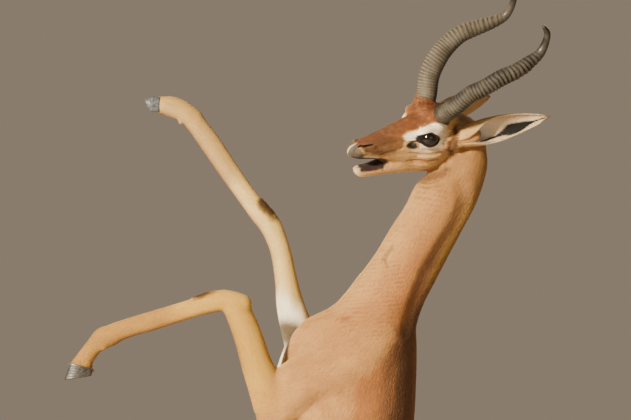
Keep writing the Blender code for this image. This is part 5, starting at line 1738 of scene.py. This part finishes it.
# ------------------------------------------------------------------ eyes
def make_eye(s, name):
    w, fore, up = eye_axes(s)
    verts, faces, cols = [], [], []
    rings, seg = 54, 72
    iris = math.radians(46)
    for i in range(rings + 1):
        th = math.pi * i / rings
        r = EYE_RADIUS + 0.0009 * math.exp(-(th / math.radians(34)) ** 4)
        for j in range(seg):
            ph = 2 * math.pi * j / seg
            d = math.cos(th) * w + math.sin(th) * (math.cos(ph) * fore + math.sin(ph) * up)
            verts.append(EYE_AT[s] + r * d)
            a, b = math.sin(th) * math.cos(ph), math.sin(th) * math.sin(ph)
            c = np.array((0.030, 0.0125, 0.0055))
            ray = 0.5 + 0.5 * math.sin(ph * 37 + 2 * math.sin(ph * 11))
            c = c * 0.42 * (0.65 + 0.6 * ray * (th / iris))
            pupil = math.hypot(a / 0.46, b / 0.17)
            k = float(smooth(np.array(pupil), 0.85, 1.15))
            c = np.array((0.0015, 0.0012, 0.0012)) * (1 - k) + c * k
            k = float(smooth(np.array(th), iris * 0.86, iris * 1.02))
            c = c * (1 - k) + np.array((0.0055, 0.0035, 0.003)) * k
            cols.append(c)
    for i in range(rings):
        for j in range(seg):
            k = (j + 1) % seg
            a, b, c, d = i * seg + j, i * seg + k, (i + 1) * seg + k, (i + 1) * seg + j
            faces.append((a, d, c, b))
    ob = new_mesh_object(name, verts, faces)
    colour_attribute(ob.data, "eye", np.array(cols))
    bm = bmesh.new()
    bm.from_mesh(ob.data)
    bmesh.ops.remove_doubles(bm, verts=bm.verts, dist=1e-6)
    bmesh.ops.recalc_face_normals(bm, faces=bm.faces)
    bm.to_mesh(ob.data)
    bm.free()
    ob.data.shade_smooth()
    return ob


def eye_material():
    mat, nodes, links, bsdf = new_material("eye", (0.01, 0.007, 0.005), 0.10)
    at = nodes.new("ShaderNodeAttribute")
    at.attribute_name = "eye"
    geo = nodes.new("ShaderNodeTexCoord").outputs["Object"]
    n = noise_node(nodes, links, geo, 700.0, 3.0, 0.5)
    c = mix_colour(nodes, links, remap(nodes, links, n, 0.4, 0.7, 0.0, 0.5), at.outputs["Color"],
                   mix_colour(nodes, links, 1.0, at.outputs["Color"], (0.5, 0.5, 0.5), 'MULTIPLY'))
    links.new(c, bsdf.inputs["Base Color"])
    links.new(remap(nodes, links, n, 0.3, 0.7, 0.06, 0.10), bsdf.inputs["Roughness"])
    bsdf.inputs["Specular IOR Level"].default_value = 0.35
    bsdf.inputs["Coat Weight"].default_value = 0.45
    bsdf.inputs["Coat Roughness"].default_value = 0.04
    return mat


# ------------------------------------------------------------------ hooves
def make_claw(name, coronet, way, x, rows, low=None):
    """One claw of a hoof from its coronet to the sole."""
    table = []
    for k, (uf, vf, ub, vb, hw) in enumerate(rows):
        a, b = side(uf, vf, x), side(ub, vb, x)
        if k == 0:
            a = a - way * (a - coronet).dot(way) - way * 0.0018
            b = b - way * (b - coronet).dot(way) - way * 0.0018
        table.append(np.concatenate(((a + b) / 2, (b - a) / 2, (hw, 0.0, 0.0))))
    table = np.array(table)
    t = np.linspace(0, len(rows) - 1, 30)
    dense = spline(table, t)
    share = np.linspace(0, 1, len(dense))
    # a rim below the coronet, growth rings, and a worn edge round the sole
    grow = 1 + 0.035 * np.exp(-((share - 0.10) / 0.05) ** 2) + 0.010 * np.sin(share * 34) * smooth(share, 0.12, 0.3)
    dense[:, 3:6] *= (0.985 * grow)[:, None]
    dense[:, 6:9] *= (0.985 * grow)[:, None]
    last = dense[-1].copy()
    edge = []
    for f, k in ((0.30, 0.985), (0.70, 0.955), (1.0, 0.90)):
        row = last.copy()
        step = (dense[-1, :3] - dense[-3, :3])
        row[:3] = last[:3] + unit(step) * 0.0012 * f
        row[3:6] *= k
        row[6:9] *= k
        edge.append(row)
    if low is None:
        rows_all = list(dense) + edge
    else:
        rows_all = list(dense)
        for e, z in zip(edge, (0.0006, 0.0002, 0.0)):
            row = e.copy()
            row[:3] = last[:3]
            row[2] = low + z
            rows_all.append(row)
        for row in rows_all[:-3]:
            row[2] = max(row[2], low + 0.0010)
    verts, faces, sides = [], [], 36
    inward = -1.0 if name.endswith("left_claw") else 1.0
    for row in rows_all:
        for j in range(sides):
            q = 2 * math.pi * j / sides
            c, s = math.cos(q), math.sin(q)
            ex = 2.35
            cc = math.copysign(abs(c) ** (2 / ex), c)
            ss = math.copysign(abs(s) ** (2 / ex), s)
            point = -0.20 * max(0.0, -cc) ** 2          # toes narrow to the front
            flat = 0.86 if ss * inward > 0 else 1.0     # inner walls flatter
            verts.append(row[:3] + cc * row[3:6] + ss * flat * (1 + point * 1.5) * row[6:9])
    n = len(rows_all)
    for i in range(n - 1):
        for j in range(sides):
            k = (j + 1) % sides
            faces.append((i * sides + j, i * sides + k, (i + 1) * sides + k, (i + 1) * sides + j))
    faces.append(tuple(range(sides))[::-1])
    faces.append(tuple((n - 1) * sides + j for j in range(sides)))
    ob = new_mesh_object(name, np.array(verts), faces)
    bm = bmesh.new()
    bm.from_mesh(ob.data)
    bmesh.ops.recalc_face_normals(bm, faces=bm.faces)
    bm.to_mesh(ob.data)
    bm.free()
    ob.data.shade_smooth()
    return ob


def hoof_material(name, colour):
    mat, nodes, links, bsdf = new_material(name, colour, 0.4)
    geo = nodes.new("ShaderNodeTexCoord").outputs["Object"]
    n = noise_node(nodes, links, geo, 210.0, 4.0, 0.6)
    c = mix_colour(nodes, links, remap(nodes, links, n, 0.35, 0.7, 0.0, 1.0), tuple(colour),
                   tuple(x * 2.3 + 0.01 for x in colour))
    n2 = noise_node(nodes, links, geo, 45.0, 3.0, 0.5)
    c = mix_colour(nodes, links, remap(nodes, links, n2, 0.5, 0.8, 0.0, 0.5), c, (0.16, 0.13, 0.10))
    links.new(c, bsdf.inputs["Base Color"])
    links.new(remap(nodes, links, n, 0.3, 0.7, 0.28, 0.55), bsdf.inputs["Roughness"])
    bump_node(nodes, links, bsdf, n, 0.0005, 0.5)
    return mat


def make_hooves():
    out = []
    black = hoof_material("hoof_dark", (0.020, 0.015, 0.011))
    blue = hoof_material("hoof_grey", (0.050, 0.052, 0.055))
    low = GRID_FLOOR - 0.0004 / GRID
    feet = {"left_fore": (COR_LEFT, 0.0165, ((70.5, 363, 92.5, 369, 0.0078), (68, 371, 92.5, 372, 0.0084),
                                         (65, 379, 92, 375, 0.0084)), None, black),
            "right_fore": (COR_RIGHT, -0.063, ((157, 96, 157, 111.5, 0.0078),
                                               (150.5, 96, 150, 111, 0.0084),
                                               (144, 98, 148, 108.5, 0.0070)), None, blue)}
    for s, tag in ((1.0, "left_hind"), (-1.0, "right_hind")):
        du = HIND_SHIFT[s]
        feet[tag] = (COR_HIND[s], s * 0.085, ((339 + du, 1046, 363 + du, 1053, 0.0080),
                                              (334 + du, 1057, 363 + du, 1060, 0.0088),
                                              (328 + du, low, 361 + du, low, 0.0088)),
                     BASE_HEIGHT + 0.0002, black)
    for tag, ((c, w), x, rows, floor_z, mat) in feet.items():
        for k, which in ((1, "left_claw"), (-1, "right_claw")):
            name = tag + "_" + which
            ob = make_claw(name + "_hoof", c, w, x + k * 0.0090, rows, floor_z)
            ob.data.materials.append(mat)
            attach(ob, "root")
            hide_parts(name)
            out.append(ob)
    return out


# ------------------------------------------------------------------ base
def make_base():
    """A flat plinth with a moulded edge."""
    profile = ((0.0030, 0.0), (0.0006, 0.0), (0.0, 0.0008), (0.0, 0.0118), (0.0006, 0.0128),
               (0.0022, 0.0134), (0.0022, 0.0150), (0.0006, 0.0156), (0.0, 0.0166), (0.0, 0.0212),
               (0.0004, 0.0236), (0.0014, 0.0260), (0.0030, 0.0280), (0.0052, 0.0293),
               (0.0080, 0.0299), (0.0120, 0.0300))
    corner, per = 0.012, 9
    verts, faces = [], []
    for inset, z in profile:
        hx, hy = BASE_WIDTH / 2 - inset, BASE_LENGTH / 2 - inset
        r = max(corner - inset, 0.001)
        for sx, sy, a0 in ((1, 1, 0), (-1, 1, 90), (-1, -1, 180), (1, -1, 270)):
            for k in range(per):
                a = math.radians(a0 + 90 * k / (per - 1))
                verts.append((sx * (hx - r) + r * math.cos(a), sy * (hy - r) + r * math.sin(a), z))
    n = per * 4
    for i in range(len(profile) - 1):
        for j in range(n):
            k = (j + 1) % n
            faces.append((i * n + j, i * n + k, (i + 1) * n + k, (i + 1) * n + j))
    faces.append(tuple(range(n))[::-1])
    faces.append(tuple((len(profile) - 1) * n + j for j in range(n)))
    ob = new_mesh_object("display_base", np.array(verts), faces, smooth_shade=False)
    ob.data.shade_smooth()
    ob.data.set_sharp_from_angle(angle=math.radians(38))
    mat, nodes, links, bsdf = new_material("base_wood", (0.10, 0.06, 0.035), 0.38)
    geo = nodes.new("ShaderNodeTexCoord").outputs["Object"]
    scale = nodes.new("ShaderNodeMapping")
    scale.inputs["Scale"].default_value = (26.0, 1.6, 26.0)
    links.new(geo, scale.inputs["Vector"])
    warp = noise_node(nodes, links, scale.outputs["Vector"], 1.0, 6.0, 0.62)
    fine = nodes.new("ShaderNodeMapping")
    fine.inputs["Scale"].default_value = (420.0, 14.0, 420.0)
    links.new(geo, fine.inputs["Vector"])
    pores = noise_node(nodes, links, fine.outputs["Vector"], 1.0, 3.0, 0.6)
    c = mix_colour(nodes, links, remap(nodes, links, warp, 0.36, 0.66, 0.0, 1.0), (0.050, 0.026, 0.014),
                   (0.150, 0.082, 0.042))
    c = mix_colour(nodes, links, remap(nodes, links, pores, 0.50, 0.72, 0.0, 0.75), c, (0.026, 0.014, 0.008))
    links.new(c, bsdf.inputs["Base Color"])
    links.new(remap(nodes, links, pores, 0.3, 0.7, 0.30, 0.50), bsdf.inputs["Roughness"])
    bump_node(nodes, links, bsdf, pores, 0.0003, 0.4)
    bsdf.inputs["Coat Weight"].default_value = 0.25
    bsdf.inputs["Coat Roughness"].default_value = 0.25
    ob.data.materials.append(mat)
    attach(ob, "root")
    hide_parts("stand_base")
    return ob


# ------------------------------------------------------------------ coat
TUFTS = 215000


def coat_plan(p, n, info):
    """Length, width, lift and share of the tufts over the body."""
    u, v = grid_of(p)
    lab, s, ang = info["label"], info["s"], np.abs(info["angle"])
    h = to_head(p)
    length = np.full(len(p), 0.0105)
    width = np.full(len(p), 0.0014)
    lift = np.full(len(p), 0.00035)
    share = np.ones(len(p))
    trunk = lab == REGIONS.index("trunk")
    belly = trunk * (1 - smooth(ang, 0.6, 1.1)) * smooth(v, 420, 500)
    length += 0.0035 * belly
    back = trunk * smooth(ang, 2.3, 2.8)
    length += 0.0015 * back
    for tag, a, b in (("left_fore", 0.16, 0.30), ("right_fore", 0.16, 0.30),
                      ("left_hind", 0.30, 0.50), ("right_hind", 0.30, 0.50)):
        m = lab == REGIONS.index(tag)
        t = smooth(s, a, b)
        length[m] = (0.0105 - 0.0042 * t)[m]
        width[m] = (0.0014 - 0.0004 * t)[m]
        lift[m] = (0.00035 - 0.0001 * t)[m]
        share[m] = (1.0 + 1.3 * t)[m]
        foot = smooth(s, s[m].max() - 0.11, s[m].max() - 0.05) if m.any() else 0
        length[m] -= (0.0016 * foot)[m] if m.any() else 0
    m = lab == REGIONS.index("tail")
    t = smooth(s, 0.05, 0.12)
    length[m] = (0.012 + 0.026 * t)[m]
    width[m] = (0.0014 + 0.0006 * t)[m]
    lift[m] = (0.0015 + 0.0030 * t)[m]
    share[m] = (2.0 + 4.0 * t)[m]
    m = lab == REGIONS.index("head")
    face = smooth(h[:, 1], -0.090, 0.030)
    length[m] = (0.0092 - 0.0040 * face)[m]
    width[m] = (0.0013 - 0.0004 * face)[m]
    lift[m] = (0.0004 - 0.00015 * face)[m]
    share[m] = (1.6 + 1.7 * face)[m]
    nose = smooth(h[:, 1], 0.095, 0.130)
    length[m] -= (0.0018 * nose)[m]
    # hair between and around the horns
    crown = m * smooth(h[:, 2], 0.030, 0.042) * smooth(h[:, 1], -0.055, -0.035) * (1 - smooth(h[:, 1], 0.016, 0.030))
    length += 0.0042 * crown
    lift += 0.0016 * crown
    share += 1.6 * crown
    chin = m * smooth(-h[:, 2], 0.088, 0.102) * smooth(h[:, 1], 0.040, 0.060)
    length += 0.0020 * chin
    # knee brushes
    for a, b in KNEE_BRUSH:
        near = 1 - smooth(capsule(p, a, b, 0.0085), -0.001, 0.006)
        length += 0.0085 * near
        lift += 0.0034 * near
        share += 3.2 * near
    # bare places
    bare = np.zeros(len(p))
    for e in (1, -1):
        rel = p - EYE_AT[e]
        r = np.linalg.norm(rel, axis=1)
        q = lid_coordinate(rel / r[:, None], e)[0]
        bare = np.maximum(bare, (1 - smooth(q, 1.10, 1.22)) * (r < 0.03))
    mh, uv = mirrored(h)
    mouth = (h[:, 1] > 0.056) & (mh[:, 0] < 0.0150) & (h[:, 2] < -0.0595) & (h[:, 2] > -0.083) \
        & (np.abs(n @ HEAD_UP) > 0.35)
    bare = np.maximum(bare, mouth * (h[:, 1] < 0.137))
    dn = stroke(uv, [np.array(q) for q in NOSTRIL], (0.5, 0.85, 0.95, 0.75, 0.3))
    bare = np.maximum(bare, (1 - smooth(dn, 0.3, 0.9)) * m * (mh[:, 0] > 0.006))
    front = m * (h[:, 1] > 0.1335) * (mh[:, 0] < 0.007) * (h[:, 2] < -0.045)
    bare = np.maximum(bare, front)
    fringe = np.zeros(len(p))
    for point, way in (COR_LEFT, COR_RIGHT, *COR_HIND.values()):
        rel = p - point
        out = rel @ way
        flat = np.linalg.norm(rel - out[:, None] * way, axis=1)
        bare = np.maximum(bare, (out > -0.0012) & (flat < 0.026) & (out < 0.03))
        # hair that hangs over the top of the hoof
        fringe = np.maximum(fringe, (1 - smooth(-out, 0.004, 0.010)) * (flat < 0.030) * (out < 0.001))
    length += 0.0065 * fringe
    width += 0.0005 * fringe
    lift += 0.0026 * fringe
    share += 5.0 * fringe
    for e in (1, -1):
        rel = p - head(e * HORN_ROOT[0], HORN_ROOT[1], HORN_ROOT[2])
        w = head_way(e * HORN_WAY[0], HORN_WAY[1], HORN_WAY[2])
        out = rel @ w
        flat = np.linalg.norm(rel - out[:, None] * w, axis=1)
        bare = np.maximum(bare, (out > -0.0012) & (flat < 0.0165) & (out < 0.03))
    share = share * (1 - bare)
    return length, width, lift, share, fringe


def turn_from_eyes(p, flow):
    """The coat parts round the eyes instead of running across them."""
    for e in (1, -1):
        rel = p - EYE_AT[e]
        r = np.linalg.norm(rel, axis=1)
        w = EYE_WAY[e]
        rad = unit(rel - (rel @ w)[:, None] * w)
        near = (1 - smooth(r, 0.024, 0.034)) * ((rel @ w) > -0.004)
        toward = np.minimum((flow * rad).sum(1), 0.0)
        flow = flow + rad * (-toward * 1.15 + 0.25)[:, None] * near[:, None]
    return unit(flow)


def scatter(skin, count, seed=11):
    """Tufts over the skin: arrays of vertices, colours, unwrap corners and region."""
    V, T, UV, COL, FLOW, NRM, LAB, (L, W, H, D, G) = skin
    rng = np.random.default_rng(seed)
    a, b, c = V[T[:, 0]], V[T[:, 1]], V[T[:, 2]]
    area = 0.5 * np.linalg.norm(np.cross(b - a, c - a), axis=1)
    weight = area * D[T].mean(1)
    pick = np.searchsorted(np.cumsum(weight) / weight.sum(), (np.arange(count) + rng.random(count)) / count)
    pick = np.clip(pick, 0, len(T) - 1)
    r1, r2 = np.sqrt(rng.random(count)), rng.random(count)
    bary = np.stack((1 - r1, r1 * (1 - r2), r1 * r2), 1)

    def mixed(arr):
        return (arr[T[pick]] * (bary[..., None] if arr.ndim > 1 else bary)).sum(1)

    P, N, F = mixed(V), unit(mixed(NRM)), mixed(FLOW)
    C, l, w, h = mixed(COL), mixed(L), mixed(W), mixed(H)
    root_uv = (UV[pick] * bary[..., None]).sum(1)
    F = unit(F - N * (F * N).sum(1)[:, None])
    S = np.cross(N, F)
    yaw = rng.normal(0, 0.13, count)
    F = unit(F * np.cos(yaw)[:, None] + S * np.sin(yaw)[:, None])
    S = np.cross(N, F)
    l = l * rng.uniform(0.72, 1.22, count)
    w = w * rng.uniform(0.75, 1.2, count)
    h = h * rng.uniform(0.55, 1.6, count)
    reach = P + F * l[:, None]
    tree = BVHTree.FromPolygons(V.tolist(), T.tolist())
    tip = np.empty_like(P)
    near = tree.find_nearest
    for k, q in enumerate(reach.tolist()):
        hit, nn, _i, _d = near(q, 0.03)
        tip[k] = (hit + nn * 0.0) if hit is not None else q
    drop = ((reach - tip) * N).sum(1)
    free = mixed(G)
    ok = (np.linalg.norm(tip - P, axis=1) > 0.3 * l) & (free < 0.25)
    tip = np.where(ok[:, None], tip, reach)
    drop = np.where(ok, drop, 0.0)
    mid = P + (tip - P) * 0.45 + N * (np.clip(drop, -0.004, 0.004) * 0.25)[:, None]
    tip = tip + N * (h)[:, None]
    thick = np.minimum(w * 0.30, 0.0005)
    mid_low = mid + N * (0.00010 + h * 0.20)[:, None]
    A = mid_low + S * (w * 0.5)[:, None]
    B = mid_low - S * (w * 0.5)[:, None]
    Cc = mid_low + N * (thick + 0.00015)[:, None]
    R = P - N * 0.0007
    verts = np.stack((R, A, B, Cc, tip), 1)
    tone = rng.normal(1.0, 0.095, (count, 1)) * (1 + rng.normal(0, 0.010, (count, 3)))
    # each tuft painted darker at its root, as shade where it meets the skin, and a touch lighter at its tip
    shade = np.array((0.90, 0.97, 0.97, 1.00, 1.04))
    cols = np.clip(C[:, None, :] * tone[:, None, :] * shade[None, :, None], 0.002, 0.96)
    off = np.array(((0, -0.0013), (-0.0013, 0.0), (0.0013, 0.0), (0.0, 0.0004), (0.0, 0.0015)))
    uvs = np.clip(root_uv[:, None, :] + off[None], 0.0005, 0.9995)
    lab = LAB[T[pick, 0]]
    # shading normals near the skin's own, so that the coat reads as one soft surface
    corner = np.stack((N, unit(N + 0.45 * S), unit(N - 0.45 * S), N, unit(N + 0.20 * F)), 1)
    return verts, cols, uvs, lab, corner


TUFT_FACES = np.array(((0, 1, 3), (0, 3, 2), (0, 2, 1), (4, 3, 1), (4, 2, 3), (4, 1, 2)))


def tuft_object(name, verts, cols, uvs, mat, corner=None):
    n = len(verts)
    faces = (TUFT_FACES[None] + 5 * np.arange(n)[:, None, None]).reshape(-1, 3)
    a, b, c, d, e = (verts[:, k] for k in range(5))
    # the first face's normal should point away from the low middle corner
    nrm = np.cross(b - a, d - a)
    if np.einsum('ij,ij->i', nrm, c - a).mean() > 0:
        faces = faces[:, ::-1].copy()
    ob = new_mesh_object(name, verts.reshape(-1, 3), faces)
    ob.data.shade_smooth()
    if corner is not None:
        flat_v = verts.reshape(-1, 3)
        tri = flat_v[faces]
        own = unit(np.cross(tri[:, 1] - tri[:, 0], tri[:, 2] - tri[:, 0]))
        soft = corner.reshape(-1, 3)[faces]
        under = np.tile(np.array((False, False, True, False, False, True)), n)
        soft = unit(soft * 0.58 + own[:, None, :] * 0.42)
        soft[under] = own[under][:, None, :]
        ob.data.normals_split_custom_set(soft.reshape(-1, 3).astype(np.float32))
    colour_attribute(ob.data, "coat", cols.reshape(-1, 3))
    layer = ob.data.uv_layers.new(name="OFBake")
    flat = uvs.reshape(-1, 2)[faces.ravel()]
    layer.data.foreach_set("uv", flat.astype(np.float32).ravel())
    ob.data.materials.append(mat)
    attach(ob, "root")
    return ob


# ------------------------------------------------------------------ assembly
def assemble():
    import time
    clock = [time.time()]

    def lap(what):
        print("%-14s %.1f" % (what, time.time() - clock[0]))
        clock[0] = time.time()

    rough = make_skin()
    lap("skin")
    mesh = rough.data
    p = coords(mesh)
    n = vertex_normals(mesh)
    tris = np.empty(len(mesh.polygons) * 3, np.int32)
    mesh.loops.foreach_get("vertex_index", tris)
    tris = tris.reshape(-1, 3).astype(int)
    bpy.data.objects.remove(rough, do_unlink=True)
    info = survey(p)
    rgb = paint(p, n, info)
    for e in (1, -1):
        rel = p - EYE_AT[e]
        r = np.linalg.norm(rel, axis=1)
        q, a, b, w = lid_coordinate(rel / r[:, None], e)
        rim = (1 - smooth(q, 1.035, 1.095)) * (r < 0.030)
        rgb = over(rgb, rim, BLACK)
        corner = bump(np.linalg.norm(np.stack((a - 0.93, b + 0.02), 1), axis=1), 0.16) * (r < 0.03) * (w > 0)
        rgb = over(rgb, corner, BLACK * 1.5)
    uv = unwrap(p, tris, info)
    flow = turn_from_eyes(p, info["flow"])
    length, width, lift, share, fringe = coat_plan(p, n, info)
    label = info["label"].copy()
    lap("colours")
    parts = [(p, tris, uv, rgb, flow, label, length, width, lift, share, fringe)]
    for k, name in enumerate(EARS):
        v, t, c_uv, col, fl, inner = ear_shell(name)
        m = len(v)
        base, axis, opening, edge = ear_frame(name)
        tt = ((v - np.array(base)) @ axis) / EAR_LENGTH
        white = smooth(tt, 0.02, 0.08) * (1 - smooth(tt, 0.20, 0.32)) * inner
        parts.append((v, t, c_uv, col, fl, np.full(m, len(REGIONS) + k),
                      0.0062 + 0.0070 * white, np.full(m, 0.0009) + 0.0004 * white,
                      0.0004 + 0.0020 * white + 0.0006 * inner,
                      np.where(inner, 1.6 + 2.5 * white, 2.2) * smooth(tt, -0.02, 0.04), np.zeros(m)))
    first = 0
    stack = [[] for _ in range(11)]
    for part in parts:
        for k, a in enumerate(part):
            stack[k].append(a + first if k == 1 else a)
        first += len(part[0])
    V, T, UV, COL, FLOW, LAB, L, W, H, D, G = (np.concatenate(s) for s in stack)
    skin = new_mesh_object("skin", V, T)
    colour_attribute(skin.data, "coat", COL)
    layer = skin.data.uv_layers.new(name="OFBake")
    layer.data.foreach_set("uv", UV.reshape(-1, 2).astype(np.float32).ravel())
    skin.data.materials.append(coat_material("skin"))
    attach(skin, "root")
    flesh = [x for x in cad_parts
             if not x.endswith(("_eye", "_horn", "_claw")) and x != "stand_base"]
    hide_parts(*flesh)
    N = vertex_normals(skin.data)
    lap("skin object")
    mat = coat_material("coat", tuft=True)
    verts, cols, uvs, lab, corner = scatter((V, T, UV, COL, FLOW, N, LAB, (L, W, H, D, G)), TUFTS)
    lap("scatter")
    names = list(REGIONS) + list(EARS)
    small = {"tail": "hind", "left_ear": "head", "right_ear": "head", "left_hind": "hind",
             "right_hind": "hind", "left_fore": "fore", "right_fore": "fore"}
    groups = {}
    for k, name in enumerate(names):
        groups.setdefault(small.get(name, name), []).append(np.nonzero(lab == k)[0])
    for name, rows in groups.items():
        rows = np.concatenate(rows)
        rows = rows[np.argsort(verts[rows, 0, 2], kind="stable")]
        many = math.ceil(len(rows) / 32500)
        for i, chunk in enumerate(np.array_split(rows, max(many, 1))):
            if len(chunk):
                tuft_object("coat_%s_%d" % (name, i + 1), verts[chunk], cols[chunk], uvs[chunk], mat,
                            corner[chunk])
    lap("tufts")
    # lashes along the upper lids
    lashes = []
    rng = np.random.default_rng(5)
    for e in (1, -1):
        w, fore, up = eye_axes(e)
        for q in np.linspace(math.radians(14), math.radians(168), 58):
            a = LID_LONG * 0.985 * math.cos(q)
            b = LID_HIGH * 1.03 * math.sin(q)
            d = fore * a + up * b + w * math.sqrt(max(0.02, 1 - a * a - b * b))
            root = EYE_AT[e] + d * (EYE_RADIUS + 0.0012)
            way = unit(w * 0.75 + d * 0.35 + fore * (a * 0.5 - 0.10) + up * (0.10 + 0.1 * rng.normal()))
            ln = 0.0062 * (0.75 + 0.4 * rng.random())
            s1 = unit(np.cross(way, up))
            n1 = np.cross(s1, way)
            mid = root + way * ln * 0.5 - up * 0.0004
            tip = root + way * ln + up * 0.0010
            th = 0.00028
            lashes.append((root, mid + s1 * th, mid - s1 * th, mid + n1 * th * 1.6, tip))
    lashes = np.array(lashes)
    lash_uv = np.tile((0.02, 0.985), (len(lashes), 5, 1)) + np.arange(5)[None, :, None] * 0.0006
    dark, *_ = new_material("lash", (0.008, 0.006, 0.005), 0.5)
    dn, dl = dark.node_tree.nodes, dark.node_tree.links
    nn = noise_node(dn, dl, dn.new("ShaderNodeTexCoord").outputs["Object"], 600.0)
    dl.new(mix_colour(dn, dl, nn, (0.006, 0.005, 0.004), (0.020, 0.014, 0.010)),
           dn["Principled BSDF"].inputs["Base Color"])
    tuft_object("lashes", lashes, np.full((len(lashes), 5, 3), 0.008), lash_uv, dark)
    horn = horn_material()
    eye = eye_material()
    for s, tag in ((1, "left"), (-1, "right")):
        ob = make_horn(s, tag + "_ringed_horn")
        ob.data.materials.append(horn)
        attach(ob, "root")
        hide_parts(tag + "_horn")
        ob = make_eye(s, tag + "_eyeball")
        ob.data.materials.append(eye)
        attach(ob, "root")
        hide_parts(tag + "_eye")
    make_hooves()
    make_base()
    lap("rest")


assemble()
